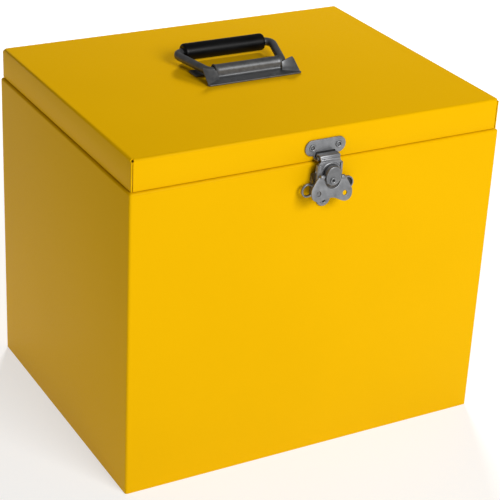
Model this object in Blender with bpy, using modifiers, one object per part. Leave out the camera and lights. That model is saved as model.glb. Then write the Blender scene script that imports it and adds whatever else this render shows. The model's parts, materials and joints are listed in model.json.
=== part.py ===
"""Fire-resistant steel document box with a lift-up lid, folding chest handle and rotary draw latch.

Frame: metres, +Z up, the front faces -Y, +X is to the right of someone facing the front. The origin is
at the middle of the body's footprint, on the surface that the box stands on.
Run with: blender --background --python part.py
"""

import math

import bmesh
import bpy
from mathutils import Matrix, Vector

MM = 0.001
GAP = 0.3 * MM                    # clearance between touching pieces

# ---- Box body ------------------------------------------------------------------------------------
BOX_WIDTH = 400 * MM
BOX_DEPTH = 315 * MM
BODY_HEIGHT = 317.6 * MM
CLOSED = -1                       # a shell's end that has a face
SHEET = 1.2 * MM                  # outer steel sheet
BEND_RADIUS = 2.6 * MM            # soft bends of the outer sheet
RIM_FLANGE = 13.6 * MM            # inward flange at the top of the body
PAN_HEIGHT = 12 * MM              # the bottom pan's flange, inside the walls
BOARD = 11 * MM                   # insulation board
LINER_SHEET = 1.0 * MM

# ---- Lid -----------------------------------------------------------------------------------------
SEAM = 0.7 * MM                   # gap between the body's rim and the lid's skirt
LID_INSET = 2.2 * MM              # the lid is this much smaller than the body on every side
LID_TOP = 349.4 * MM
LID_BOTTOM = BODY_HEIGHT + SEAM
LID_BOARD = 22 * MM
SEAL_WIDTH = 8 * MM
SEAL_THICKNESS = 1.9 * MM
BACKING_SHEET = 3 * MM            # plate under the lid's top, behind the handle

# ---- Hinge ---------------------------------------------------------------------------------------
HINGE_LENGTH = 360 * MM
KNUCKLES = 9
KNUCKLE_RADIUS = 2.7 * MM
PIN_RADIUS = 1.3 * MM
PIN_CLEARANCE = 0.08 * MM
LEAF = 1.2 * MM
LEAF_HEIGHT = 20 * MM
HINGE_Y = BOX_DEPTH / 2 + GAP + KNUCKLE_RADIUS
HINGE_Z = BODY_HEIGHT + 0.4 * MM
RIVET_PITCH = 64 * MM

# ---- Handle --------------------------------------------------------------------------------------
HANDLE_SHEET = 1.5 * MM
HANDLE_HALF_WIDTH = 51.7 * MM
HANDLE_HALF_DEPTH = 22.7 * MM
HANDLE_CORNER = 3 * MM
HANDLE_RIVET_X = 22 * MM
HANDLE_RIVET_Y = 15.5 * MM
HANDLE_RIVET_RADIUS = 2.2 * MM
HUMP_HALF_WIDTH = 36.5 * MM       # the folded channel that holds the bail's lower bar
BAIL_RADIUS = 4.2 * MM
HUMP_RADIUS = BAIL_RADIUS + GAP + HANDLE_SHEET
PIVOT_HEIGHT = 7.0 * MM           # above the lid's top
REAR_FLANGE_START = 6.0 * MM
REAR_FLANGE_CORNER = 2 * MM
BAIL_REACH = 50.1 * MM            # from the pivot to the grip's axis
BAIL_SHIFT = -0.6 * MM            # the loop lies this far to the left in its channel
BAIL_HALF_WIDTH_LOW = 41.6 * MM
BAIL_HALF_WIDTH_HIGH = 56.2 * MM
BAIL_BEND_LOW = 7 * MM
BAIL_BEND_HIGH = 8 * MM
BAIL_REST_TILT = math.radians(4.3)
GRIP_RADIUS = 8.75 * MM
GRIP_HALF_LENGTH = 45.9 * MM
GRIP_EDGE = 1.6 * MM
# The right-hand wing's rear face: (x, y, height above the lid's top) at its four corners.
WING_CORNERS = ((51.2 * MM, -20.2 * MM, 0.3 * MM), (35.6 * MM, -9.4 * MM, 0.3 * MM),
                (36.9 * MM, -5.4 * MM, 9.0 * MM), (49.8 * MM, -4.9 * MM, 12.6 * MM))
LEFT_EXTRA = 1.6 * MM             # the base reaches a little further on the left
LEFT_PEAK_SHIFT = (-3.2 * MM, 0.0, 1.0 * MM)

# ---- Latch, measured from its own middle line; depths are distances in front of the body's face --
LATCH_SHEET = 1.6 * MM
DRUM_Z = 308.4 * MM               # height of the axis that the drum turns on
ECCENTRICITY = 4.3 * MM
OVER_CENTRE = math.radians(7)     # the latched drum rests this far past dead centre
HOUSING_FRONT = 8.0 * MM
LINK_FRONT = 11.0 * MM
HEAD_FRONT = 16.4 * MM
CAP_FRONT = 18.3 * MM
POST_RADIUS = 6.6 * MM
SPACER_RADIUS = 6.4 * MM          # keeps the link off the housing, inside its side flanges as it swings
CAP_HALF_WIDTH = 8.1 * MM
CAP_HALF_HEIGHT = 9.7 * MM
LINK_HALF_WIDTH = 12.6 * MM
HOOK_HALF_WIDTH = 10.5 * MM
HOOK_TOP = 326.8 * MM
KEEPER_Z = 331.3 * MM
KEEPER_HALF_WIDTH = 21.8 * MM
KEEPER_HALF_HEIGHT = 7.9 * MM
KEEPER_RIVET_X = 14.2 * MM
KEEPER_RIVET_Z = 331.7 * MM
WING_PIN_Z = 306.9 * MM
WING_PIN_DEPTH = 15.15 * MM
WING_PIN_RADIUS = 1.0 * MM
WING_FLARE = math.radians(13)     # the resting wing leans out from the body by this
WING_HOLE_X = 14.4 * MM
WING_HOLE_DROP = 15.6 * MM
WING_HOLE_RADIUS = 2.9 * MM
BASE_HALF_WIDTH = 14.2 * MM
BASE_LOW = 282 * MM
BASE_SHOULDER = 307 * MM
BASE_HIGH = 317 * MM
LOBE_Z = 278.6 * MM
LOBE_RADIUS = 7.3 * MM
LOBE_RIVET_Z = 277.2 * MM
HOUSING_Z = 308.4 * MM
HOUSING_RADIUS = 10.6 * MM
EYE_X = 21.0 * MM                 # the padlock eye and, mirrored, the closed cup
EYE_Z = 293.0 * MM
EYE_RADIUS = 7.0 * MM
EYE_HOLE_RADIUS = 5.2 * MM
EYE_BACK = 5.4 * MM
CUP_X = 21.6 * MM
CUP_Z = 294.0 * MM
CUP_RADIUS = 6.9 * MM
CUP_HOLLOW_RADIUS = 5.4 * MM
CUP_BACK = 4.6 * MM
TONGUE_HALF_WIDTH = 8.0 * MM
BASE_CORNER = 3.0 * MM
EYE_BRIDGE_HALF_HEIGHT = 6.4 * MM
CUP_BRIDGE_HALF_HEIGHT = 6.0 * MM
# The two ears' outlines, as (depth, height) in millimetres.
LEFT_EAR = ((0.3, 285), (7.2, 285), (7.2, 300), (9.6, 309.6), (9.2, 311.8), (0.3, 306.4))
RIGHT_EAR = ((0.3, 288), (7.2, 288), (7.2, 299.5), (0.3, 302))
SPINDLE_RADIUS = 4.9 * MM
SPINDLE_HOLE_RADIUS = 5.2 * MM
FOOT_RADIUS = 7.4 * MM            # the drum's retaining foot, inside the housing
FOOT_BACK = 3.0 * MM
FOOT_FRONT = 4.6 * MM
RIVET_HOLE_RADIUS = 2.2 * MM
RIVET_SHANK_RADIUS = 1.9 * MM
SLOT_HALF_WIDTH = 10.9 * MM       # the keeper's slot, which the hook drops into
SLOT_TOP = 327.2 * MM
SLOT_BACK = 0.5 * MM              # sheet left behind the slot
LIP_HALF_WIDTH = 12.3 * MM
LIP_SHEET = 1.3 * MM
LIP_FLOOR = 321.6 * MM
LIP_TOP = 324.6 * MM
LIP_DEPTH = 5.6 * MM
PIN_INNER_X = 4.6 * MM
PIN_OUTER_X = 13.5 * MM
BARREL_INNER_X = 9.15 * MM
BARREL_OUTER_X = 13.35 * MM
BARREL_RADIUS = 2.0 * MM
LINK_SHOULDER = 322.4 * MM
LINK_FLANGE_LOW = 300 * MM
LINK_FLANGE_HIGH = 318.6 * MM
LINK_FLANGE_SHEET = 1.4 * MM
# The right half of the butterfly's outline: (across, up from the pins' axis) in millimetres.
WING_EDGE = ((8.9, 0.9), (9.6, 1.3), (11.4, 1.45), (13.2, 1.0), (15.4, -1.0), (18.0, -4.6), (20.4, -8.4),
             (22.2, -11.8), (22.5, -14.8), (22.1, -18.0), (20.6, -20.8), (17.8, -22.7), (14.6, -23.4),
             (11.6, -22.8), (8.4, -21.6), (5.0, -20.3), (2.0, -19.7))
WING_NOTCH = ((2.6, -10.7), (5.4, -9.2), (7.6, -6.6), (8.8, -3.4))

FRONT_Y = -BOX_DEPTH / 2
REAR_Y = BOX_DEPTH / 2
PARTS = "fire_resistant_document_box"


# ---- Scene and materials -------------------------------------------------------------------------
def clear_scene():
    for obj in list(bpy.data.objects):
        bpy.data.objects.remove(obj, do_unlink=True)


def parts_collection():
    collection = bpy.data.collections.get(PARTS)
    if collection is None:
        collection = bpy.data.collections.new(PARTS)
        bpy.context.scene.collection.children.link(collection)
    return collection


def finish(name, colour, roughness, metallic):
    """A Principled BSDF material."""
    material = bpy.data.materials.new(name)
    material.use_nodes = True
    shader = material.node_tree.nodes["Principled BSDF"]
    shader.inputs["Base Color"].default_value = (*colour, 1.0)
    shader.inputs["Roughness"].default_value = roughness
    shader.inputs["Metallic"].default_value = metallic
    material.diffuse_color = (*colour, 1.0)
    return material


def make_finishes():
    return {
        "yellow": finish("yellow_powder_coat", (0.93, 0.50, 0.0), 0.38, 0.0),
        "plated": finish("zinc_plated_steel", (0.42, 0.42, 0.43), 0.32, 1.0),
        "dull": finish("dull_stamped_steel", (0.30, 0.30, 0.31), 0.42, 1.0),
        "galvanised": finish("galvanised_sheet", (0.55, 0.57, 0.58), 0.45, 1.0),
        "board": finish("insulation_board", (0.78, 0.75, 0.68), 0.9, 0.0),
        "seal": finish("fire_seal", (0.05, 0.05, 0.05), 0.8, 0.0),
        "vinyl": finish("black_vinyl", (0.02, 0.02, 0.02), 0.45, 0.0),
    }


# ---- Mesh helpers --------------------------------------------------------------------------------
def mesh_object(name, mesh):
    obj = bpy.data.objects.new(name, mesh)
    parts_collection().objects.link(obj)
    return obj


def from_bmesh(name, bm):
    mesh = bpy.data.meshes.new(name)
    bm.to_mesh(mesh)
    bm.free()
    return mesh_object(name, mesh)


def box(name, low, high):
    """A block between two opposite corners."""
    low = Vector(low)
    high = Vector(high)
    bm = bmesh.new()
    bmesh.ops.create_cube(bm, size=1.0)
    bmesh.ops.scale(bm, vec=high - low, verts=bm.verts)
    bmesh.ops.translate(bm, vec=(low + high) / 2, verts=bm.verts)
    return from_bmesh(name, bm)


def cylinder(name, start, end, radius, segments=20, end_radius=None):
    """A cylinder, or a cone frustum, between the middles of its two ends."""
    start = Vector(start)
    end = Vector(end)
    along = end - start
    turn = along.to_track_quat("Z", "Y").to_matrix().to_4x4()
    bm = bmesh.new()
    bmesh.ops.create_cone(bm, cap_ends=True, segments=segments, radius1=radius,
                          radius2=radius if end_radius is None else end_radius, depth=along.length,
                          matrix=Matrix.Translation((start + end) / 2) @ turn)
    return from_bmesh(name, bm)


def evaluated_mesh(obj):
    bpy.context.view_layer.update()
    depsgraph = bpy.context.evaluated_depsgraph_get()
    return bpy.data.meshes.new_from_object(obj.evaluated_get(depsgraph))


def bake(obj):
    """Turn a curve, or an object with modifiers, into plain mesh in world space with welded caps."""
    mesh = evaluated_mesh(obj)
    mesh.transform(obj.matrix_world)
    bm = bmesh.new()
    bm.from_mesh(mesh)
    bmesh.ops.remove_doubles(bm, verts=bm.verts, dist=0.00001)
    bmesh.ops.recalc_face_normals(bm, faces=bm.faces)
    bm.to_mesh(mesh)
    bm.free()
    name = obj.name
    bpy.data.objects.remove(obj, do_unlink=True)
    mesh.materials.clear()
    return mesh_object(name, mesh)


def plate(name, outline, near, far, plane="XZ"):
    """A flat sheet: an outline of (u, v) points, extruded between two positions along its plane's normal.

    XZ plates take (x, z) and run along Y, YZ plates take (y, z) and run along X, and XY plates take (x, y)
    and run along Z.
    """
    curve = bpy.data.curves.new(name, "CURVE")
    curve.dimensions = "2D"
    curve.fill_mode = "BOTH"
    curve.extrude = abs(far - near) / 2
    spline = curve.splines.new("POLY")
    spline.points.add(len(outline) - 1)
    for point, (u, v) in zip(spline.points, outline):
        point.co = (u, v, 0, 1)
    spline.use_cyclic_u = True
    obj = bpy.data.objects.new(name, curve)
    parts_collection().objects.link(obj)
    middle = (near + far) / 2
    if plane == "XZ":
        obj.matrix_world = Matrix(((1, 0, 0, 0), (0, 0, -1, middle), (0, 1, 0, 0), (0, 0, 0, 1)))
    elif plane == "YZ":
        obj.matrix_world = Matrix(((0, 0, 1, middle), (1, 0, 0, 0), (0, 1, 0, 0), (0, 0, 0, 1)))
    else:
        obj.matrix_world = Matrix.Translation((0, 0, middle))
    return bake(obj)


def combine(target, tools, operation):
    """Join tools to the target, or cut them from it, and remove the tools."""
    for tool in tools:
        modifier = target.modifiers.new("combine", "BOOLEAN")
        modifier.operation = operation
        modifier.solver = "EXACT"
        modifier.object = tool
        mesh = evaluated_mesh(target)
        target.modifiers.clear()
        target.data = mesh
        bpy.data.objects.remove(tool, do_unlink=True)
    return target


def join(target, *tools):
    return combine(target, tools, "UNION")


def cut(target, *tools):
    return combine(target, tools, "DIFFERENCE")


def numbered(name, solids):
    """Name several like pieces name_1, name_2 and so on."""
    for number, solid in enumerate(solids, 1):
        solid.name = f"{name}_{number}"
    return solids


def turn(obj, axis, angle, centre):
    """Turn an object's mesh about a line through centre."""
    centre = Vector(centre)
    rotation = Matrix.Rotation(angle, 4, Vector(axis))
    obj.data.transform(Matrix.Translation(centre) @ rotation @ Matrix.Translation(-centre))
    return obj


def dress(obj, material, smooth_angle=32):
    """Give the piece its material and shade its round faces smooth."""
    obj.data.materials.clear()
    obj.data.materials.append(material)
    obj.data.shade_smooth()
    obj.data.set_sharp_from_angle(angle=math.radians(smooth_angle))
    return obj


def set_origin(obj, point):
    """Move the object's origin to a point on its joint's axis, leaving its shape in place."""
    point = Vector(point)
    obj.data.transform(Matrix.Translation(-point))
    obj.location = point
    return obj


# ---- Outline helpers -----------------------------------------------------------------------------
def arc(u, v, radius, start, end, steps):
    """Points on an arc from start to end, in degrees."""
    angles = [math.radians(start + (end - start) * i / steps) for i in range(steps + 1)]
    return [(u + radius * math.cos(a), v + radius * math.sin(a)) for a in angles]


def circle(u, v, radius, count=20):
    return arc(u, v, radius, 0, 360, count)[:-1]


def obround(u, v, half_u, half_v, steps=8):
    """A rounded outline whose short sides are half circles."""
    if half_u > half_v:
        reach = half_u - half_v
        return arc(u + reach, v, half_v, -90, 90, steps) + arc(u - reach, v, half_v, 90, 270, steps)
    reach = half_v - half_u
    return arc(u, v + reach, half_u, 0, 180, steps) + arc(u, v - reach, half_u, 180, 360, steps)


def rounded_rectangle(low_u, low_v, high_u, high_v, radius, steps=4):
    return (arc(high_u - radius, low_v + radius, radius, -90, 0, steps)
            + arc(high_u - radius, high_v - radius, radius, 0, 90, steps)
            + arc(low_u + radius, high_v - radius, radius, 90, 180, steps)
            + arc(low_u + radius, low_v + radius, radius, 180, 270, steps))


def folded_strip(points, thickness):
    """The outline of a sheet that follows a line of (u, v) points, its thickness on the line's left."""
    line = [Vector(point) for point in points]
    offset = []
    for i, point in enumerate(line):
        before = (point - line[max(i - 1, 0)]).normalized()
        after = (line[min(i + 1, len(line) - 1)] - point).normalized()
        direction = (before + after).normalized()
        normal = Vector((-direction.y, direction.x))
        ends = i in (0, len(line) - 1)
        stretch = 1.0 if ends else 1 / max(0.5, normal.dot(Vector((-after.y, after.x))))
        offset.append(point + normal * thickness * stretch)
    return [tuple(point) for point in line + offset[::-1]]


def rounded_loop(corners, radii, steps):
    """A closed line through (x, y) corners, each corner rounded with its own radius."""
    points = []
    count = len(corners)
    for i, corner in enumerate(corners):
        here = Vector(corner)
        back = (Vector(corners[i - 1]) - here).normalized()
        ahead = (Vector(corners[(i + 1) % count]) - here).normalized()
        half = back.angle(ahead) / 2
        centre = here + (back + ahead).normalized() * radii[i] / math.sin(half)
        start = here + back * radii[i] / math.tan(half) - centre
        sweep = (here + ahead * radii[i] / math.tan(half) - centre).angle_signed(start)
        for step in range(steps + 1):
            points.append(centre + Matrix.Rotation(sweep * step / steps, 2) @ start)
    return points


# ---- Body ----------------------------------------------------------------------------------------
def folded_shell(name, half_x, half_y, low, high, top, bottom):
    """A rectangular sheet-steel shell with softly bent edges.

    top and bottom are each CLOSED, 0 for an open end, or the width of an open end's inward flange.
    """
    bm = bmesh.new()
    bmesh.ops.create_cube(bm, size=1.0)
    bmesh.ops.scale(bm, vec=(2 * half_x, 2 * half_y, high - low), verts=bm.verts)
    bmesh.ops.translate(bm, vec=(0, 0, (low + high) / 2), verts=bm.verts)
    for level, flange in ((low, bottom), (high, top)):
        if flange == CLOSED:
            continue
        faces = [f for f in bm.faces if all(abs(v.co.z - level) < 1e-6 for v in f.verts)]
        if flange:
            bmesh.ops.inset_region(bm, faces=faces, thickness=flange, use_even_offset=True)
        bmesh.ops.delete(bm, geom=faces, context="FACES")
    bends = [e for e in bm.edges if len(e.link_faces) == 2 and e.calc_face_angle(0) > 1.0]
    bmesh.ops.bevel(bm, geom=bends, offset=BEND_RADIUS, offset_type="OFFSET", segments=3, profile=0.5,
                    affect="EDGES", clamp_overlap=True)
    shell = from_bmesh(name, bm)
    solidify = shell.modifiers.new("sheet", "SOLIDIFY")
    solidify.thickness = SHEET
    solidify.offset = -1
    solidify.use_even_offset = True
    return bake(shell)


def make_body_shell(finishes):
    shell = folded_shell("body_shell", BOX_WIDTH / 2, BOX_DEPTH / 2, 0, BODY_HEIGHT, RIM_FLANGE, 0)
    dress(shell, finishes["yellow"])


def make_bottom_plate(finishes):
    """A shallow pan whose flanges stand inside the walls. The box stands on it and on the walls' edges."""
    half_x = BOX_WIDTH / 2 - SHEET - GAP
    half_y = BOX_DEPTH / 2 - SHEET - GAP
    pan = folded_shell("bottom_plate", half_x, half_y, 0, PAN_HEIGHT, 0, CLOSED)
    dress(pan, finishes["yellow"])


BOARD_OUT = SHEET + GAP                         # from the outer face to the insulation
LINER_OUT = BOARD_OUT + BOARD + GAP             # from the outer face to the liner
FLOOR_LOW = SHEET + GAP                         # underside of the floor board
LINER_LOW = FLOOR_LOW + BOARD + GAP
BOARD_TOP = BODY_HEIGHT - SHEET - GAP - 0.8 * MM


def make_insulation(finishes):
    """Boards that line the floor and the four walls. Their ends stay clear of the sheet's bends."""
    out_x = BOX_WIDTH / 2 - BOARD_OUT
    out_y = BOX_DEPTH / 2 - BOARD_OUT
    in_x = out_x - BOARD
    in_y = out_y - BOARD
    clear = 3.2 * MM
    low = FLOOR_LOW + BOARD + GAP
    boards = {
        "floor_insulation": ((-out_x + clear, -out_y + clear, FLOOR_LOW),
                             (out_x - clear, out_y - clear, FLOOR_LOW + BOARD)),
        "front_insulation": ((-in_x, -out_y, low), (in_x, -in_y, BOARD_TOP)),
        "rear_insulation": ((-in_x, in_y, low), (in_x, out_y, BOARD_TOP)),
        "left_insulation": ((-out_x, -out_y + clear, low), (-in_x - GAP, out_y - clear, BOARD_TOP)),
        "right_insulation": ((in_x + GAP, -out_y + clear, low), (out_x, out_y - clear, BOARD_TOP)),
    }
    for name, (low, high) in boards.items():
        dress(box(name, low, high), finishes["board"])


def make_inner_liner(finishes):
    half_x = BOX_WIDTH / 2 - LINER_OUT - GAP
    half_y = BOX_DEPTH / 2 - LINER_OUT
    outer = box("inner_liner", (-half_x, -half_y, LINER_LOW), (half_x, half_y, BOARD_TOP))
    hollow = box("hollow", (-half_x + LINER_SHEET, -half_y + LINER_SHEET, LINER_LOW + LINER_SHEET),
                 (half_x - LINER_SHEET, half_y - LINER_SHEET, BODY_HEIGHT))
    dress(cut(outer, hollow), finishes["galvanised"])


# ---- Hinge ---------------------------------------------------------------------------------------
def knuckle_span(index):
    pitch = HINGE_LENGTH / KNUCKLES
    start = -HINGE_LENGTH / 2 + index * pitch
    return start + 0.25 * MM, start + pitch - 0.25 * MM


def rivet_positions():
    count = int(HINGE_LENGTH / RIVET_PITCH)
    return [(i - (count - 1) / 2) * RIVET_PITCH for i in range(count)]


def hinge_leaf(name, profile, first_knuckle):
    """A leaf with every other knuckle, bored for the pin."""
    leaf = plate(name, profile, -HINGE_LENGTH / 2, HINGE_LENGTH / 2, "YZ")
    slots = []
    knuckles = []
    for index in range(KNUCKLES):
        low, high = knuckle_span(index)
        if index % 2 == first_knuckle:
            knuckles.append(cylinder("knuckle", (low, HINGE_Y, HINGE_Z), (high, HINGE_Y, HINGE_Z),
                                     KNUCKLE_RADIUS, 16))
        else:
            reach = KNUCKLE_RADIUS + 0.5 * MM
            slots.append(box("slot", (low - 0.5 * MM, HINGE_Y - reach, HINGE_Z - reach),
                             (high + 0.5 * MM, HINGE_Y + reach, HINGE_Z + reach)))
    cut(leaf, *slots)
    join(leaf, *knuckles)
    bore = cylinder("bore", (-HINGE_LENGTH, HINGE_Y, HINGE_Z), (HINGE_LENGTH, HINGE_Y, HINGE_Z),
                    PIN_RADIUS + PIN_CLEARANCE, 12)
    return cut(leaf, bore)


def make_hinge(finishes):
    inner = REAR_Y + GAP
    leaf_low = HINGE_Z - KNUCKLE_RADIUS - LEAF_HEIGHT
    leaf_high = HINGE_Z - 0.5 * MM
    lower = [(inner, leaf_low), (inner + LEAF, leaf_low), (inner + LEAF, leaf_high), (inner, leaf_high)]
    lower_leaf = hinge_leaf("body_hinge_leaf", lower, 0)
    lid_inner = REAR_Y - LID_INSET + GAP
    joggle = [(lid_inner, HINGE_Z + LEAF_HEIGHT + KNUCKLE_RADIUS), (lid_inner, HINGE_Z + 5.5 * MM),
              (inner + 0.1 * MM, HINGE_Z + 2.2 * MM), (inner + 0.5 * MM, HINGE_Z + 0.9 * MM)]
    upper = folded_strip(joggle, LEAF)
    upper_leaf = hinge_leaf("lid_hinge_leaf", upper, 1)
    low_z = HINGE_Z - KNUCKLE_RADIUS - LEAF_HEIGHT / 2
    high_z = HINGE_Z + KNUCKLE_RADIUS + LEAF_HEIGHT / 2 + 2 * MM
    for leaf, face, z, name in ((lower_leaf, inner, low_z, "body_hinge_rivet"),
                                (upper_leaf, lid_inner, high_z, "lid_hinge_rivet")):
        rivets = []
        for x in rivet_positions():
            rivets.append(cylinder("rivet", (x, face + LEAF + GAP, z), (x, face + LEAF + GAP + 1.3 * MM, z),
                                   3.2 * MM, 12, 1.8 * MM))
        for rivet in numbered(name, rivets):
            dress(rivet, finishes["plated"])
        dress(leaf, finishes["yellow"])
    set_origin(bpy.data.objects["lid_hinge_leaf"], (0, HINGE_Y, HINGE_Z))
    half = HINGE_LENGTH / 2 + 0.5 * MM
    pin = cylinder("hinge_pin", (-half, HINGE_Y, HINGE_Z), (half, HINGE_Y, HINGE_Z), PIN_RADIUS, 12)
    dress(pin, finishes["plated"])


# ---- Lid -----------------------------------------------------------------------------------------
def make_lid_shell(finishes):
    half_x = BOX_WIDTH / 2 - LID_INSET
    half_y = BOX_DEPTH / 2 - LID_INSET
    shell = folded_shell("lid_shell", half_x, half_y, LID_BOTTOM, LID_TOP, CLOSED, 0)
    dress(shell, finishes["yellow"])


def lid_inside():
    """Half sizes of the space inside the lid's skirts."""
    margin = LID_INSET + SHEET + GAP
    return BOX_WIDTH / 2 - margin, BOX_DEPTH / 2 - margin


def make_lid_filling(finishes):
    half_x, half_y = lid_inside()
    corner = 1.8 * MM
    plate_low = LID_TOP - SHEET - GAP - BACKING_SHEET
    board_top = plate_low - GAP
    board_low = board_top - LID_BOARD
    liner_low = LID_BOTTOM + SEAL_THICKNESS + GAP
    board = box("lid_insulation", (-half_x + corner, -half_y + corner, board_low),
                (half_x - corner, half_y - corner, board_top))
    dress(board, finishes["board"])
    liner = box("lid_liner", (-half_x + corner, -half_y + corner, liner_low),
                (half_x - corner, half_y - corner, liner_low + LINER_SHEET))
    dress(liner, finishes["galvanised"])
    backing = box("handle_backing_plate",
                  (-HANDLE_HALF_WIDTH - 8 * MM, -HANDLE_HALF_DEPTH - 8 * MM, plate_low),
                  (HANDLE_HALF_WIDTH + 8 * MM, HANDLE_HALF_DEPTH + 8 * MM, LID_TOP - SHEET - GAP))
    dress(backing, finishes["galvanised"])
    outer_x = BOX_WIDTH / 2 - LID_INSET - SHEET - GAP - 2.5 * MM
    outer_y = BOX_DEPTH / 2 - LID_INSET - SHEET - GAP - 2.5 * MM
    seal_low = BODY_HEIGHT + GAP
    seal = box("lid_seal", (-outer_x, -outer_y, seal_low), (outer_x, outer_y, liner_low - GAP))
    hollow = box("hollow", (-outer_x + SEAL_WIDTH, -outer_y + SEAL_WIDTH, seal_low - MM),
                 (outer_x - SEAL_WIDTH, outer_y - SEAL_WIDTH, liner_low + MM))
    dress(cut(seal, hollow), finishes["seal"])


# ---- Handle --------------------------------------------------------------------------------------
def make_handle_base(finishes):
    """One stamped sheet: a hump over the bail's bar, two flanges, and flared wings beside the hump."""
    low = LID_TOP + GAP
    top = low + HANDLE_SHEET
    centre_z = LID_TOP + PIVOT_HEIGHT
    inside = HUMP_RADIUS - HANDLE_SHEET
    fillet = 1.2 * MM
    profile = [(-HANDLE_HALF_DEPTH, low), (-inside, low)]
    profile += arc(0, centre_z, inside, 180, 0, 10)
    profile += [(inside, low), (HANDLE_HALF_DEPTH, low), (HANDLE_HALF_DEPTH, top)]
    profile += [(HUMP_RADIUS + fillet, top), (HUMP_RADIUS, top + fillet)]
    profile += arc(0, centre_z, HUMP_RADIUS, 0, 180, 12)
    profile += [(-HUMP_RADIUS, top + fillet), (-HUMP_RADIUS - fillet, top), (-HANDLE_HALF_DEPTH, top)]
    base = plate("handle_base", profile, -HUMP_HALF_WIDTH, HUMP_HALF_WIDTH, "YZ")
    rear_outline = rounded_rectangle(-HANDLE_HALF_WIDTH - LEFT_EXTRA, REAR_FLANGE_START, HANDLE_HALF_WIDTH,
                                     HANDLE_HALF_DEPTH, REAR_FLANGE_CORNER)
    rear = plate("rear", rear_outline, low, top, "XY")
    front = plate("front", front_flange_outline(), low, top, "XY")
    join(base, front, rear, handle_wing(1), handle_wing(-1))
    dress(base, finishes["dull"])


def front_flange_outline():
    """The front flange runs wider than the hump as far as the wings' slanted folds."""
    right = front_flange_side(0)
    left = front_flange_side(LEFT_EXTRA)
    return right + [(-x, y) for x, y in reversed(left)]


def front_flange_side(extra):
    (outer_x, outer_y, _), (inner_x, inner_y, _) = WING_CORNERS[:2]
    middle_x = HANDLE_HALF_WIDTH - HANDLE_CORNER + extra
    middle_y = -HANDLE_HALF_DEPTH + HANDLE_CORNER
    side = arc(middle_x, middle_y, HANDLE_CORNER, -90, 0, 4)
    side += [(outer_x + 0.5 * MM + extra, outer_y + 0.6 * MM), (inner_x + 0.5 * MM, inner_y + 0.6 * MM),
             (inner_x - MM, -HUMP_RADIUS - 0.5 * MM)]
    return side


def handle_wing(side):
    """A flared wing: it leaves the front flange along a slanted fold and rises, twisting, by the hump."""
    corners = [Vector((side * x, y, LID_TOP + z)) for x, y, z in WING_CORNERS]
    outer_low, inner_low, inner_high, outer_high = corners
    if side < 0:
        outer_low.x -= LEFT_EXTRA
        outer_high += Vector(LEFT_PEAK_SHIFT)
    steps = 4
    bm = bmesh.new()
    rows = []
    for i in range(steps + 1):
        inner = inner_low.lerp(inner_high, i / steps)
        outer = outer_low.lerp(outer_high, i / steps)
        rows.append([bm.verts.new(inner.lerp(outer, j / steps)) for j in range(steps + 1)])
    for i in range(steps):
        for j in range(steps):
            ring = [rows[i][j], rows[i][j + 1], rows[i + 1][j + 1], rows[i + 1][j]]
            bm.faces.new(ring if side > 0 else ring[::-1])
    wing = from_bmesh("wing", bm)
    solidify = wing.modifiers.new("sheet", "SOLIDIFY")
    solidify.thickness = HANDLE_SHEET
    solidify.offset = 1
    return bake(wing)


def make_handle_rivets(finishes):
    """Four rivets that tie the handle's base, the lid's top and the backing plate together."""
    low = LID_TOP - SHEET - GAP - BACKING_SHEET
    high = LID_TOP + GAP + HANDLE_SHEET
    places = [(x, y) for x in (-HANDLE_RIVET_X, HANDLE_RIVET_X) for y in (-HANDLE_RIVET_Y, HANDLE_RIVET_Y)]
    for target in ("handle_base", "lid_shell", "handle_backing_plate"):
        cut(bpy.data.objects[target], *[cylinder("hole", (x, y, low - MM), (x, y, high + MM),
                                                 HANDLE_RIVET_RADIUS + GAP, 12) for x, y in places])
    rivets = [cylinder("rivet", (x, y, low), (x, y, high), HANDLE_RIVET_RADIUS, 12) for x, y in places]
    for rivet in numbered("handle_rivet", rivets):
        dress(rivet, finishes["dull"])


def make_handle_bail(finishes):
    """A closed loop of round rod. Its lower bar lies on the pivot axis, and it rests folded to the rear."""
    corners = [(BAIL_SHIFT - BAIL_HALF_WIDTH_LOW, 0), (BAIL_SHIFT + BAIL_HALF_WIDTH_LOW, 0),
               (BAIL_SHIFT + BAIL_HALF_WIDTH_HIGH, BAIL_REACH),
               (BAIL_SHIFT - BAIL_HALF_WIDTH_HIGH, BAIL_REACH)]
    curve = bpy.data.curves.new("handle_bail", "CURVE")
    curve.dimensions = "3D"
    curve.bevel_depth = BAIL_RADIUS
    curve.bevel_resolution = 3
    points = rounded_loop(corners, (BAIL_BEND_LOW, BAIL_BEND_LOW, BAIL_BEND_HIGH, BAIL_BEND_HIGH), 5)
    spline = curve.splines.new("POLY")
    spline.points.add(len(points) - 1)
    for target, point in zip(spline.points, points):
        target.co = (point.x, point.y, 0, 1)
    spline.use_cyclic_u = True
    rod = bpy.data.objects.new("handle_bail", curve)
    parts_collection().objects.link(rod)
    pivot = (0, 0, LID_TOP + PIVOT_HEIGHT)
    rod.location = pivot
    rod.rotation_euler.x = BAIL_REST_TILT
    rod = bake(rod)
    set_origin(dress(rod, finishes["dull"], 60), pivot)


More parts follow.
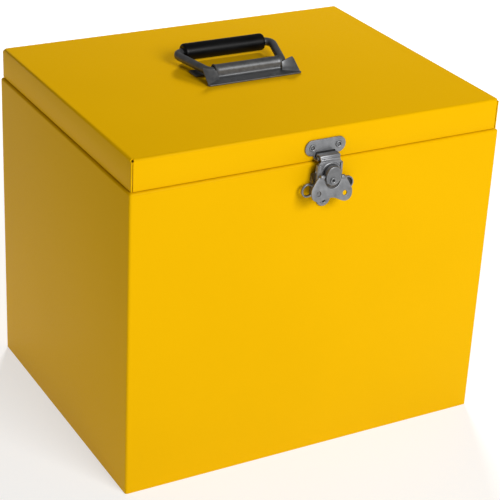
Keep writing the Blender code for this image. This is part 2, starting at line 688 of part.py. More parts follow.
def make_handle_grip(finishes):
    """A sleeve over the bail's far bar: a turned tube with rounded ends."""
    bore = BAIL_RADIUS + GAP
    profile = [(bore, -GRIP_HALF_LENGTH)]
    rounded = arc(GRIP_RADIUS - GRIP_EDGE, GRIP_HALF_LENGTH - GRIP_EDGE, GRIP_EDGE, 0, 90, 4)
    profile += [(u, -v) for u, v in reversed(rounded)]
    profile += rounded
    profile += [(bore, GRIP_HALF_LENGTH)]
    mesh = bpy.data.meshes.new("handle_grip")
    edges = [(i, (i + 1) % len(profile)) for i in range(len(profile))]
    mesh.from_pydata([(u, 0, v) for u, v in profile], edges, [])
    grip = mesh_object("handle_grip", mesh)
    screw = grip.modifiers.new("turned", "SCREW")
    screw.steps = 24
    screw.render_steps = 24
    screw.use_merge_vertices = True
    screw.merge_threshold = 0.00001
    pivot = Vector((0, 0, LID_TOP + PIVOT_HEIGHT))
    reach = Matrix.Rotation(BAIL_REST_TILT, 3, "X") @ Vector((BAIL_SHIFT, BAIL_REACH, 0))
    grip.matrix_world = Matrix.Translation(pivot + reach) @ Matrix.Rotation(math.pi / 2, 4, "Y")
    grip = bake(grip)
    set_origin(dress(grip, finishes["vinyl"], 50), pivot)


# ---- Latch ---------------------------------------------------------------------------------------
def depth(value):
    """The Y position of a point this far in front of the body's face."""
    return FRONT_Y - value


def latch_plate(name, outline, near, far):
    return plate(name, outline, depth(near), depth(far))


def latch_cylinder(name, x, z, near, far, radius, segments=20, far_radius=None):
    return cylinder(name, (x, depth(near), z), (x, depth(far), z), radius, segments, far_radius)


def latch_strip(name, points, start_x, end_x):
    """A sheet on edge: an outline of (depth, height) points in millimetres, between two X positions."""
    return plate(name, [(depth(d * MM), z * MM) for d, z in points], start_x, end_x, "YZ")


def base_bridge(x, z, inner_x, half_height):
    """The web that carries a cup or an eye, level with the housing's roof."""
    low_x, high_x = sorted((x, inner_x))
    outline = rounded_rectangle(low_x, z - half_height, high_x, z + half_height, MM)
    return latch_plate("bridge", outline, HOUSING_FRONT - LATCH_SHEET, HOUSING_FRONT)


def make_latch_base(finishes):
    """A plate with a drum housing, a bottom lobe, a padlock eye on the left and a cup on the right."""
    near = GAP
    far = GAP + LATCH_SHEET
    half = BASE_HALF_WIDTH
    overlap = 0.2 * MM
    body = rounded_rectangle(-half, BASE_LOW, half, BASE_SHOULDER, BASE_CORNER)
    tongue = rounded_rectangle(-TONGUE_HALF_WIDTH, BASE_LOW + 9 * MM, TONGUE_HALF_WIDTH, BASE_HIGH, BASE_CORNER)
    neck = rounded_rectangle(-LOBE_RADIUS, LOBE_Z, LOBE_RADIUS, BASE_LOW + 4 * MM, MM)
    base = latch_plate("latch_base", body, near, far)
    join(base,
         latch_plate("tongue", tongue, near, far),
         latch_plate("lobe", circle(0, LOBE_Z, LOBE_RADIUS, 24), near, far),
         latch_plate("neck", neck, near, far),
         latch_cylinder("housing", 0, HOUSING_Z, far - 0.5 * MM, HOUSING_FRONT, HOUSING_RADIUS, 28,
                        HOUSING_RADIUS - 1.2 * MM),
         latch_strip("ear", LEFT_EAR, -half - 1.0 * MM, -half + 0.6 * MM),
         latch_strip("ear", RIGHT_EAR, half - overlap, half + 1.4 * MM),
         base_bridge(-EYE_X, EYE_Z, -half + overlap, EYE_BRIDGE_HALF_HEIGHT),
         latch_plate("eye", circle(-EYE_X, EYE_Z, EYE_RADIUS, 24), EYE_BACK, HOUSING_FRONT),
         base_bridge(CUP_X, CUP_Z, half - overlap, CUP_BRIDGE_HALF_HEIGHT),
         latch_cylinder("cup", CUP_X, CUP_Z, CUP_BACK, HOUSING_FRONT, CUP_RADIUS, 24))
    cut(base,
        latch_cylinder("hollow", 0, HOUSING_Z, -MM, HOUSING_FRONT - LATCH_SHEET, HOUSING_RADIUS - 2.2 * MM,
                       28, HOUSING_RADIUS - 2.8 * MM),
        latch_cylinder("hole", 0, DRUM_Z, 0, 20 * MM, SPINDLE_HOLE_RADIUS, 20),
        latch_cylinder("hole", -EYE_X, EYE_Z, EYE_BACK - MM, 12 * MM, EYE_HOLE_RADIUS, 20),
        latch_cylinder("hole", CUP_X, CUP_Z, CUP_BACK + 1.2 * MM, 12 * MM, CUP_HOLLOW_RADIUS, 20))
    for x, z in base_rivet_places():
        cut(base, latch_cylinder("hole", x, z, -MM, 4 * MM, RIVET_HOLE_RADIUS, 12))
    dress(base, finishes["plated"])


def base_rivet_places():
    return [(0, LOBE_RIVET_Z), (-9.4 * MM, 287.4 * MM), (9.4 * MM, 287.4 * MM)]


def hollow_rivet(x, z, face, head_radius, dish_radius, tail):
    """A rivet with a domed head on a face and a dished middle. Depths are in front of the body."""
    head = latch_cylinder("rivet", x, z, face + 0.05 * MM, face + 1.2 * MM, head_radius, 16,
                          head_radius - 0.9 * MM)
    join(head, latch_cylinder("shank", x, z, tail, face + 0.3 * MM, RIVET_SHANK_RADIUS, 12))
    return cut(head, latch_cylinder("dish", x, z, face + 0.1 * MM, face + 2 * MM, dish_radius * 0.6, 12,
                                    dish_radius * 1.7))


def make_latch_base_rivets(finishes):
    face = GAP + LATCH_SHEET + GAP
    rivets = [hollow_rivet(x, z, face, 3.4 * MM, 1.4 * MM, GAP) for x, z in base_rivet_places()]
    for rivet in numbered("latch_base_rivet", rivets):
        dress(rivet, finishes["plated"])


def make_keeper(finishes):
    """A rounded strike plate on the lid's skirt. Its lower edge turns out and up into the hook's lip."""
    near = GAP - LID_INSET
    far = near + LATCH_SHEET
    outline = obround(0, KEEPER_Z, KEEPER_HALF_WIDTH, KEEPER_HALF_HEIGHT, 10)
    notch = rounded_rectangle(-SLOT_HALF_WIDTH, 315 * MM, SLOT_HALF_WIDTH, SLOT_TOP, 1.5 * MM)
    keeper = latch_plate("keeper", outline, near, far)
    cut(keeper, latch_plate("notch", notch, near + SLOT_BACK, far + MM))
    lip_line = [(depth(far), SLOT_TOP + MM), (depth(far), LIP_FLOOR), (depth(LIP_DEPTH), LIP_FLOOR),
                (depth(LIP_DEPTH), LIP_TOP)]
    lip = plate("lip", folded_strip(lip_line, LIP_SHEET), -LIP_HALF_WIDTH, LIP_HALF_WIDTH, "YZ")
    cut(lip, box("slot", (-SLOT_HALF_WIDTH, depth(far), LIP_FLOOR + 0.6 * MM),
                 (SLOT_HALF_WIDTH, depth(near + SLOT_BACK), SLOT_TOP + 1.8 * MM)))
    join(keeper, lip)
    for x in (-KEEPER_RIVET_X, KEEPER_RIVET_X):
        cut(keeper, latch_cylinder("hole", x, KEEPER_RIVET_Z, near - MM, far + MM, RIVET_HOLE_RADIUS, 12))
    dress(keeper, finishes["plated"])
    rivets = [hollow_rivet(x, KEEPER_RIVET_Z, far + GAP, 3.5 * MM, 1.4 * MM, near)
              for x in (-KEEPER_RIVET_X, KEEPER_RIVET_X)]
    for rivet in numbered("keeper_rivet", rivets):
        dress(rivet, finishes["plated"])


def drum_turn(obj):
    """Turn a piece of the latched drum past dead centre, clockwise as seen from the front."""
    return turn(obj, (0, 1, 0), OVER_CENTRE, (0, 0, DRUM_Z))


def drum_piece(obj, material):
    """Finish a piece that turns with the drum."""
    return set_origin(dress(drum_turn(obj), material), (0, depth(0), DRUM_Z))


def post_centre():
    """Where the eccentric post stands with the drum latched: (x, z)."""
    return -ECCENTRICITY * math.sin(OVER_CENTRE), DRUM_Z - ECCENTRICITY * math.cos(OVER_CENTRE)


def make_latch_drum(finishes):
    post_z = DRUM_Z - ECCENTRICITY
    link_back = LINK_FRONT - LATCH_SHEET
    head = obround(0, DRUM_Z, CAP_HALF_WIDTH - 0.4 * MM, CAP_HALF_HEIGHT - 0.4 * MM)
    drum = latch_cylinder("latch_drum", 0, DRUM_Z, FOOT_FRONT - 0.2 * MM, HOUSING_FRONT + 0.8 * MM,
                          SPINDLE_RADIUS)
    join(drum,
         latch_cylinder("foot", 0, DRUM_Z, FOOT_BACK, FOOT_FRONT, FOOT_RADIUS),
         latch_cylinder("spacer", 0, DRUM_Z, HOUSING_FRONT + GAP, link_back - GAP, SPACER_RADIUS),
         latch_cylinder("post", 0, post_z, HOUSING_FRONT + 0.5 * MM, LINK_FRONT + 0.6 * MM, POST_RADIUS),
         latch_plate("head", head, LINK_FRONT + GAP, HEAD_FRONT))
    cut(drum, latch_cylinder("hole", 0, post_z, 12.2 * MM, 20 * MM, RIVET_SHANK_RADIUS + GAP, 12))
    pin_y = depth(WING_PIN_DEPTH)
    for side in (-1, 1):
        cut(drum, cylinder("bore", (side * (PIN_INNER_X - 0.4 * MM), pin_y, WING_PIN_Z),
                           (side * 20 * MM, pin_y, WING_PIN_Z), WING_PIN_RADIUS + PIN_CLEARANCE, 12))
    drum_piece(drum, finishes["plated"])


def make_drum_washer(finishes):
    """A friction washer between the drum's foot and the housing's roof."""
    roof = HOUSING_FRONT - LATCH_SHEET
    washer = latch_cylinder("drum_washer", 0, DRUM_Z, FOOT_FRONT + GAP, roof - GAP, FOOT_RADIUS)
    cut(washer, latch_cylinder("hole", 0, DRUM_Z, 0, 10 * MM, SPINDLE_HOLE_RADIUS, 20))
    set_origin(dress(washer, finishes["galvanised"]), (0, depth(0), DRUM_Z))


def make_drum_cap(finishes):
    outline = obround(0, DRUM_Z, CAP_HALF_WIDTH, CAP_HALF_HEIGHT, 10)
    cap = latch_plate("drum_cap", outline, HEAD_FRONT + GAP, CAP_FRONT)
    post_z = DRUM_Z - ECCENTRICITY
    cut(cap, latch_cylinder("hole", 0, post_z, 12 * MM, 20 * MM, RIVET_SHANK_RADIUS + GAP, 12))
    bevel = cap.modifiers.new("edge", "BEVEL")
    bevel.width = 0.5 * MM
    bevel.segments = 2
    bevel.limit_method = "ANGLE"
    bevel.angle_limit = math.radians(50)
    drum_piece(bake(cap), finishes["plated"])
    rivet = hollow_rivet(0, post_z, CAP_FRONT + GAP, 3.2 * MM, 1.3 * MM, 12.5 * MM)
    rivet.name = "cap_rivet"
    drum_piece(rivet, finishes["plated"])


def make_wing_pins(finishes):
    pin_y = depth(WING_PIN_DEPTH)
    pins = [cylinder("pin", (side * PIN_INNER_X, pin_y, WING_PIN_Z), (side * PIN_OUTER_X, pin_y, WING_PIN_Z),
                     WING_PIN_RADIUS, 12) for side in (-1, 1)]
    for pin in numbered("wing_pin", pins):
        drum_piece(pin, finishes["plated"])


def wing_outline():
    """The butterfly's outline in its own plane: u across, v up from the pins' axis."""
    right = list(WING_EDGE)
    notch = list(WING_NOTCH)
    outline = right + [(0.0, -19.6)] + [(-u, v) for u, v in reversed(right)]
    outline += [(-u, v) for u, v in reversed(notch)] + [(0.0, -11.0)] + notch
    return [(u * MM, v * MM) for u, v in outline]


def make_latch_wing(finishes):
    """The butterfly thumb-turn. It hangs from two pins, leaning out from the body."""
    half = LATCH_SHEET / 2
    bore_radius = WING_PIN_RADIUS + PIN_CLEARANCE
    wing = plate("latch_wing", wing_outline(), -half, half)
    for side in (-1, 1):
        join(wing, cylinder("barrel", (side * BARREL_INNER_X, 0, 0), (side * BARREL_OUTER_X, 0, 0),
                            BARREL_RADIUS, 14))
    for side in (-1, 1):
        bore = cylinder("bore", (side * 6 * MM, 0, 0), (side * 20 * MM, 0, 0), bore_radius, 12)
        hole = cylinder("hole", (side * WING_HOLE_X, -2 * MM, -WING_HOLE_DROP),
                        (side * WING_HOLE_X, 2 * MM, -WING_HOLE_DROP), WING_HOLE_RADIUS, 16)
        cut(wing, bore, hole)
    wing.data.transform(Matrix.Rotation(-WING_FLARE, 4, "X"))
    wing.data.transform(Matrix.Translation((0, depth(WING_PIN_DEPTH), WING_PIN_Z)))
    drum_turn(wing)
    arm = Matrix.Rotation(OVER_CENTRE, 3, "Y") @ Vector((0, 0, WING_PIN_Z - DRUM_Z))
    set_origin(dress(wing, finishes["plated"]), (arm.x, depth(WING_PIN_DEPTH), DRUM_Z + arm.z))


def link_flange(x, side):
    """A side flange, bent back from the link's edge."""
    edge = x + side * LINK_HALF_WIDTH
    low_x, high_x = sorted((edge, edge - side * LINK_FLANGE_SHEET))
    root = depth(LINK_FRONT - LATCH_SHEET + 0.4 * MM)
    return box("flange", (low_x, root, LINK_FLANGE_LOW), (high_x, depth(HOUSING_FRONT + GAP), LINK_FLANGE_HIGH))


def make_latch_link(finishes):
    """A strap with bent-back side flanges, a joggle, and a hook that drops behind the keeper's lip."""
    x, z = post_centre()
    outline = arc(x, z, LINK_HALF_WIDTH, 180, 360, 14)
    outline += [(x + LINK_HALF_WIDTH, LINK_SHOULDER), (x - LINK_HALF_WIDTH, LINK_SHOULDER)]
    link = latch_plate("latch_link", outline, LINK_FRONT - LATCH_SHEET, LINK_FRONT)
    hook_line = [(depth(LINK_FRONT), 320.6 * MM), (depth(LINK_FRONT), 321.8 * MM),
                 (depth(8.6 * MM), 325.0 * MM), (depth(8.2 * MM), HOOK_TOP), (depth(1.7 * MM), HOOK_TOP),
                 (depth(1.7 * MM), 323.4 * MM)]
    hook = plate("hook", folded_strip(hook_line, -LATCH_SHEET), -HOOK_HALF_WIDTH, HOOK_HALF_WIDTH, "YZ")
    join(link, hook, link_flange(x, -1), link_flange(x, 1))
    cut(link, latch_cylinder("hole", x, z, 0, 20 * MM, POST_RADIUS + GAP, 20))
    set_origin(dress(link, finishes["plated"]), (x, depth(0), z))


def main():
    clear_scene()
    finishes = make_finishes()
    make_body_shell(finishes)
    make_bottom_plate(finishes)
    make_insulation(finishes)
    make_inner_liner(finishes)
    make_hinge(finishes)
    make_lid_shell(finishes)
    make_lid_filling(finishes)
    make_handle_base(finishes)
    make_handle_rivets(finishes)
    make_handle_bail(finishes)
    make_handle_grip(finishes)
    make_latch_base(finishes)
    make_latch_base_rivets(finishes)
    make_keeper(finishes)
    make_latch_drum(finishes)
    make_drum_washer(finishes)
    make_drum_cap(finishes)
    make_wing_pins(finishes)
    make_latch_wing(finishes)
    make_latch_link(finishes)
    bpy.context.view_layer.update()


main()
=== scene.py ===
import json
import math

import bmesh
import bpy
from mathutils import Matrix, Vector


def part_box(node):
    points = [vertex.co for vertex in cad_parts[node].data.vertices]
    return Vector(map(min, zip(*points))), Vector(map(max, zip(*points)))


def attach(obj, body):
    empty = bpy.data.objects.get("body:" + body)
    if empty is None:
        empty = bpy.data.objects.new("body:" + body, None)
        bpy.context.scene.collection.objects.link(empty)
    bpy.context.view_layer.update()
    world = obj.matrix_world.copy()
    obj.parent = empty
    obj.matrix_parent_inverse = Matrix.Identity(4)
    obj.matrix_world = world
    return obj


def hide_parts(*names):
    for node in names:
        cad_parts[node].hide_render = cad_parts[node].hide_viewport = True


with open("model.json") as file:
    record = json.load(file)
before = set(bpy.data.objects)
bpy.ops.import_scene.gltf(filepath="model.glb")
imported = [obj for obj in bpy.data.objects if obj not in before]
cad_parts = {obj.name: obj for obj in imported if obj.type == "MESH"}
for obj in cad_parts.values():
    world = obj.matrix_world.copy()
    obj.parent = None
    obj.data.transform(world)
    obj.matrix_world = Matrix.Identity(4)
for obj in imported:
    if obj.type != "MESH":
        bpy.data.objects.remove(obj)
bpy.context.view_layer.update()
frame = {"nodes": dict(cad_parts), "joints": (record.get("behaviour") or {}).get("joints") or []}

MM = 0.001
GAP = 0.3 * MM                    # between neighbouring solids
SHEET = 1.2 * MM
BEND = 2.6 * MM
RIM = 13.6 * MM                   # the body's inward flange under the lid
LINER_SHEET = 1.0 * MM
SEAM = 0.7 * MM                   # open joint at the lid's corners
LATCH_SHEET = 1.6 * MM
HANDLE_SHEET = 1.5 * MM

JOINTS = {joint["name"]: joint for joint in frame["joints"]}


def mm(*points):
    """Points given in millimetres, in metres."""
    return [tuple(c * MM for c in point) for point in points]


def joint_point(name):
    """The point on a joint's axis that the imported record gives."""
    return Vector(JOINTS[name]["pos_m"])


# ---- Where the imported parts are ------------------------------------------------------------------
BODY_LOW, BODY_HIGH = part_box("body_shell")
LID_LOW, LID_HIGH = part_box("lid_shell")
FRONT = BODY_LOW.y
REAR = BODY_HIGH.y
LID_TOP = LID_HIGH.z
PIVOT = joint_point("handle_pivot")
DRUM = joint_point("drum_turn")
POST = joint_point("link_swing")
HINGE = joint_point("lid_hinge")
OVER_CENTRE = math.radians(7)


# ---- Meshes --------------------------------------------------------------------------------------
def from_mesh(name, mesh):
    obj = bpy.data.objects.new(name, mesh)
    bpy.context.scene.collection.objects.link(obj)
    return obj


def from_bmesh(name, bm):
    bmesh.ops.recalc_face_normals(bm, faces=bm.faces)
    mesh = bpy.data.meshes.new(name)
    bm.to_mesh(mesh)
    bm.free()
    return from_mesh(name, mesh)


def bake(obj, weld=0.000005):
    """A curve, or an object with modifiers, as plain mesh in the shared frame."""
    bpy.context.view_layer.update()
    mesh = bpy.data.meshes.new_from_object(obj.evaluated_get(bpy.context.evaluated_depsgraph_get()))
    mesh.transform(obj.matrix_world)
    bm = bmesh.new()
    bm.from_mesh(mesh)
    bmesh.ops.remove_doubles(bm, verts=bm.verts, dist=weld)
    bmesh.ops.recalc_face_normals(bm, faces=bm.faces)
    bm.to_mesh(mesh)
    bm.free()
    name = obj.name
    bpy.data.objects.remove(obj, do_unlink=True)
    mesh.materials.clear()
    return from_mesh(name, mesh)


def combine(target, tools, operation):
    for tool in tools:
        modifier = target.modifiers.new("combine", "BOOLEAN")
        modifier.operation = operation
        modifier.solver = "EXACT"
        modifier.object = tool
        bpy.context.view_layer.update()
        target.data = bpy.data.meshes.new_from_object(
            target.evaluated_get(bpy.context.evaluated_depsgraph_get()))
        target.modifiers.clear()
        bpy.data.objects.remove(tool, do_unlink=True)
    return target


def join(target, *tools):
    return combine(target, tools, "UNION")


def cut(target, *tools):
    return combine(target, tools, "DIFFERENCE")


def block(low, high):
    """A new bmesh that holds one box."""
    low = Vector(low)
    high = Vector(high)
    bm = bmesh.new()
    bmesh.ops.create_cube(bm, size=1.0)
    bmesh.ops.scale(bm, vec=high - low, verts=bm.verts)
    bmesh.ops.translate(bm, vec=(low + high) / 2, verts=bm.verts)
    return bm


def box(name, low, high):
    return from_bmesh(name, block(low, high))


def soften(obj, width, segments=2, angle=40):
    """Round an object's sharp edges."""
    bevel = obj.modifiers.new("soften", "BEVEL")
    bevel.width = width
    bevel.segments = segments
    bevel.limit_method = "ANGLE"
    bevel.angle_limit = math.radians(angle)
    bevel.use_clamp_overlap = False
    return bake(obj)


def transform(obj, matrix):
    obj.data.transform(matrix)
    return obj


def turned(obj, axis, angle, centre):
    centre = Vector(centre)
    return transform(obj, Matrix.Translation(centre) @ Matrix.Rotation(angle, 4, Vector(axis))
                     @ Matrix.Translation(-centre))


# ---- Places: each maps (u, v, w) to the shared frame, with w along the shape's own axis -------------
def on_front(x=0.0, z=0.0, out=0.0):
    """u right, v up, w outwards from a level in front of the body's face."""
    return lambda u, v, w: Vector((x + u, FRONT - out - w, z + v))


def on_rear(x, z, face):
    """u left, v up, w rearwards from a level."""
    return lambda u, v, w: Vector((x - u, face + w, z + v))


def along_x(y=0.0, z=0.0):
    return lambda u, v, w: Vector((w, y + u, z + v))


def below(x, y, face):
    """u right, v forwards, w down from a level."""
    return lambda u, v, w: Vector((x + u, y - v, face - w))


def loft(name, rings, closed_ends=True, cyclic=True):
    """A skin over rings of points. A ring of one point closes that end to a tip."""
    bm = bmesh.new()
    made = [[bm.verts.new(point) for point in ring] for ring in rings]
    for lower, upper in zip(made, made[1:]):
        count = max(len(lower), len(upper))
        for i in range(count if cyclic else count - 1):
            k = (i + 1) % count
            if len(lower) == 1:
                bm.faces.new((lower[0], upper[k], upper[i]))
            elif len(upper) == 1:
                bm.faces.new((lower[i], lower[k], upper[0]))
            else:
                bm.faces.new((lower[i], lower[k], upper[k], upper[i]))
    if closed_ends:
        for ring in (made[0], made[-1]):
            if len(ring) > 2:
                bm.faces.new(ring)
    return from_bmesh(name, bm)


def lathe(name, profile, place, segments=32, ring=False):
    """A profile of (radius, distance along the axis), turned about the place's axis."""
    rings = []
    for radius, w in profile:
        if radius < 1e-7:
            rings.append([place(0, 0, w)])
        else:
            rings.append([place(radius * math.cos(2 * math.pi * i / segments),
                                radius * math.sin(2 * math.pi * i / segments), w) for i in range(segments)])
    if ring:
        return weld(loft(name, rings + rings[:1], closed_ends=False))
    return loft(name, rings)


def weld(obj, distance=0.000005):
    bm = bmesh.new()
    bm.from_mesh(obj.data)
    bmesh.ops.remove_doubles(bm, verts=bm.verts, dist=distance)
    bmesh.ops.recalc_face_normals(bm, faces=bm.faces)
    bm.to_mesh(obj.data)
    bm.free()
    return obj


def rod(name, start, end, radius, segments=20, rounding=0.3):
    """A round bar between two points, its ends rounded over."""
    start = Vector(start)
    end = Vector(end)
    length = (end - start).length
    turn = (end - start).to_track_quat("Z", "Y")
    edge = radius * rounding
    steps = 3
    profile = [(0, 0)]
    profile += [(radius - edge + edge * math.sin(a), edge - edge * math.cos(a))
                for a in (math.pi / 2 * i / steps for i in range(steps + 1))]
    profile += [(r, length - w) for r, w in reversed(profile)]
    return lathe(name, profile, lambda u, v, w: start + turn @ Vector((u, v, w)), segments)


def drill(radius, start, end, place, segments):
    """A plain round tool for cutting a hole between two distances along a place's axis."""
    return lathe("hole", [(0, start), (radius, start), (radius, end), (0, end)], place, segments)


# ---- Outlines ------------------------------------------------------------------------------------
def arc(u, v, radius, start, end, steps):
    angles = [math.radians(start + (end - start) * i / steps) for i in range(steps + 1)]
    return [(u + radius * math.cos(a), v + radius * math.sin(a)) for a in angles]


def circle(u, v, radius, count=32):
    return arc(u, v, radius, 0, 360, count)[:-1]


def obround(u, v, half_u, half_v, steps=16):
    if half_u > half_v:
        reach = half_u - half_v
        return arc(u + reach, v, half_v, -90, 90, steps) + arc(u - reach, v, half_v, 90, 270, steps)
    reach = half_v - half_u
    return arc(u, v + reach, half_u, 0, 180, steps) + arc(u, v - reach, half_u, 180, 360, steps)


def rounded_rectangle(low_u, low_v, high_u, high_v, radius, steps=6):
    return (arc(high_u - radius, low_v + radius, radius, -90, 0, steps)
            + arc(high_u - radius, high_v - radius, radius, 0, 90, steps)
            + arc(low_u + radius, high_v - radius, radius, 90, 180, steps)
            + arc(low_u + radius, low_v + radius, radius, 180, 270, steps))


def signed_area(points):
    return sum(a[0] * b[1] - b[0] * a[1] for a, b in zip(points, points[1:] + points[:1])) / 2


def smooth_line(points, rounds=2, closed=True):
    """Corner cutting: a soft curve through the middles of a coarse outline's edges."""
    for _ in range(rounds):
        made = []
        count = len(points)
        for i in range(count if closed else count - 1):
            a = Vector(points[i])
            b = Vector(points[(i + 1) % count])
            made += [tuple(a.lerp(b, 0.25)), tuple(a.lerp(b, 0.75))]
        if not closed:
            made = [tuple(points[0])] + made[1:-1] + [tuple(points[-1])]
        points = made
    return points


def folded_strip(points, thickness):
    """The outline of a sheet that follows a line of (u, v) points, its thickness on the line's left."""
    line = [Vector(point) for point in points]
    offset = []
    for i, point in enumerate(line):
        before = (point - line[i - 1]).normalized() if i > 0 else None
        after = (line[i + 1] - point).normalized() if i < len(line) - 1 else None
        is_end = before is None or after is None
        direction = (before or after) if is_end else (before + after).normalized()
        normal = Vector((-direction.y, direction.x))
        stretch = 1.0 if is_end else 1 / max(0.5, normal.dot(Vector((-after.y, after.x))))
        offset.append(point + normal * thickness * stretch)
    return [tuple(point) for point in line + offset[::-1]]


def rounded_path(corners, radii, steps, closed=False):
    """A line through corners, each one rounded with its own radius."""
    points = []
    count = len(corners)
    for i, corner in enumerate(corners):
        here = Vector(corner)
        if not closed and i in (0, count - 1):
            points.append(here)
            continue
        back = (Vector(corners[i - 1]) - here).normalized()
        ahead = (Vector(corners[(i + 1) % count]) - here).normalized()
        half = back.angle(ahead) / 2
        centre = here + (back + ahead).normalized() * radii[i] / math.sin(half)
        start = here + back * radii[i] / math.tan(half) - centre
        sweep = (here + ahead * radii[i] / math.tan(half) - centre).angle_signed(start)
        for step in range(steps + 1):
            points.append(centre + Matrix.Rotation(sweep * step / steps, 2) @ start)
    return points


PLANES = {
    "front": lambda middle: Matrix(((1, 0, 0, 0), (0, 0, -1, middle), (0, 1, 0, 0), (0, 0, 0, 1))),
    "side": lambda middle: Matrix(((0, 0, 1, middle), (1, 0, 0, 0), (0, 1, 0, 0), (0, 0, 0, 1))),
    "flat": lambda middle: Matrix.Translation((0, 0, middle)),
}


def plate(name, outline, near, far, plane="front", edge=0.35 * MM, holes=(), resolution=2):
    """A flat sheet with rounded edges, and holes whose edges are rounded too.

    near and far are places along the plane's normal: world Y for front, world X for side, world Z for flat.
    """
    curve = bpy.data.curves.new(name, "CURVE")
    curve.dimensions = "2D"
    curve.fill_mode = "BOTH"
    curve.extrude = abs(far - near) / 2 - edge
    curve.bevel_depth = edge
    curve.bevel_resolution = resolution
    curve.offset = -edge
    for points, turn in [(outline, 1)] + [(hole, -1) for hole in holes]:
        points = list(points)
        if signed_area(points) * turn < 0:
            points.reverse()
        spline = curve.splines.new("POLY")
        spline.points.add(len(points) - 1)
        for target, (u, v) in zip(spline.points, points):
            target.co = (u, v, 0, 1)
        spline.use_cyclic_u = True
    obj = from_mesh(name, curve)
    obj.matrix_world = PLANES[plane]((near + far) / 2)
    return bake(obj, 0.000002)


def front_plate(name, outline, near, far, **options):
    """A plate on the front: near and far are distances out from the body's face."""
    return plate(name, outline, FRONT - near, FRONT - far, "front", **options)


# ---- Materials -----------------------------------------------------------------------------------
class Nodes:
    """A short way to write a material's nodes."""

    def __init__(self, name):
        self.material = bpy.data.materials.new(name)
        self.material.use_nodes = True
        self.tree = self.material.node_tree
        self.shader = self.tree.nodes["Principled BSDF"]
        self.place = self.tree.nodes.new("ShaderNodeTexCoord").outputs["Object"]

    def node(self, kind, inputs=None, **settings):
        node = self.tree.nodes.new("ShaderNode" + kind)
        for key, value in settings.items():
            setattr(node, key, value)
        for key, value in (inputs or {}).items():
            self.feed(node.inputs[key], value)
        return node

    def feed(self, socket, value):
        if isinstance(value, bpy.types.NodeSocket):
            self.tree.links.new(value, socket)
        else:
            socket.default_value = value

    def stretch(self, scale):
        return self.node("Mapping", {"Vector": self.place, "Scale": scale}).outputs["Vector"]

    def noise(self, scale, detail=3.0, rough=0.55, vector=None):
        made = self.node("TexNoise", {"Vector": vector or self.place, "Scale": scale, "Detail": detail,
                                      "Roughness": rough})
        return made.outputs["Fac"]

    def cells(self, scale):
        return self.node("TexVoronoi", {"Vector": self.place, "Scale": scale}).outputs["Color"]

    def spread(self, value, low, high, to_low, to_high):
        return self.node("MapRange", {"Value": value, "From Min": low, "From Max": high, "To Min": to_low,
                                      "To Max": to_high}).outputs["Result"]

    def mix(self, factor, first, second):
        made = self.node("Mix", data_type="RGBA")
        for key, value in ((0, factor), (6, first), (7, second)):
            self.feed(made.inputs[key], (*value, 1.0) if isinstance(value, tuple) else value)
        return made.outputs[2]

    def bump(self, height, strength, distance, under=None):
        made = self.node("Bump", {"Height": height, "Strength": strength, "Distance": distance})
        if under is not None:
            self.feed(made.inputs["Normal"], under)
        return made.outputs["Normal"]

    def finish(self, **inputs):
        for key, value in inputs.items():
            self.feed(self.shader.inputs[key.replace("_", " ")], value)
        return self.material


def powder_coat():
    """Satin polyester powder coat: fine orange peel over a sheet that isn't quite flat."""
    m = Nodes("powder_coat")
    broad = m.noise(4.5, 2.0)
    grain = m.noise(900.0, 2.0)
    peel = m.noise(420.0, 3.0)
    tone = m.mix(m.spread(broad, 0.3, 0.7, 0.0, 1.0), (0.755, 0.414, 0.0004), (0.785, 0.432, 0.0006))
    colour = m.mix(m.spread(grain, 0.35, 0.75, 0.0, 0.12), tone, (0.72, 0.385, 0.0004))
    surface = m.bump(broad, 0.12, 0.004)
    surface = m.bump(peel, 0.10, 0.00025, surface)
    return m.finish(Base_Color=colour, Roughness=m.spread(peel, 0.3, 0.7, 0.30, 0.40), Normal=surface,
                    Specular_IOR_Level=0.012)


def zinc(name, dark, light, rough_low, rough_high, grain, metallic=1.0):
    """Plated stamped steel: a clouded bright plating over fine rolling marks and small handling scratches."""
    m = Nodes(name)
    cloud = m.noise(160.0, 4.0)
    marks = m.noise(grain, 4.0, 0.6, m.stretch((1.0, 1.0, 9.0)))
    speck = m.noise(2600.0, 2.0)
    colour = m.mix(m.spread(cloud, 0.3, 0.7, 0.0, 1.0), dark, light)
    colour = m.mix(m.spread(marks, 0.45, 0.75, 0.0, 0.35), colour, tuple(0.7 * c for c in dark))
    surface = m.bump(marks, 0.10, 0.00008)
    surface = m.bump(speck, 0.06, 0.00005, surface)
    return m.finish(Base_Color=colour, Metallic=metallic, Normal=surface,
                    Roughness=m.spread(cloud, 0.3, 0.7, rough_low, rough_high))


def galvanised():
    """Hot-dip galvanised sheet with its spangle."""
    m = Nodes("galvanised")
    spangle = m.cells(170.0)
    cloud = m.noise(60.0, 3.0)
    value = m.node("SeparateColor", {"Color": spangle}).outputs["Red"]
    colour = m.mix(value, (0.42, 0.44, 0.45), (0.60, 0.62, 0.63))
    colour = m.mix(m.spread(cloud, 0.4, 0.7, 0.0, 0.25), colour, (0.36, 0.38, 0.40))
    surface = m.bump(m.noise(800.0), 0.08, 0.00008)
    return m.finish(Base_Color=colour, Metallic=1.0, Roughness=m.spread(value, 0.0, 1.0, 0.36, 0.52),
                    Normal=surface)


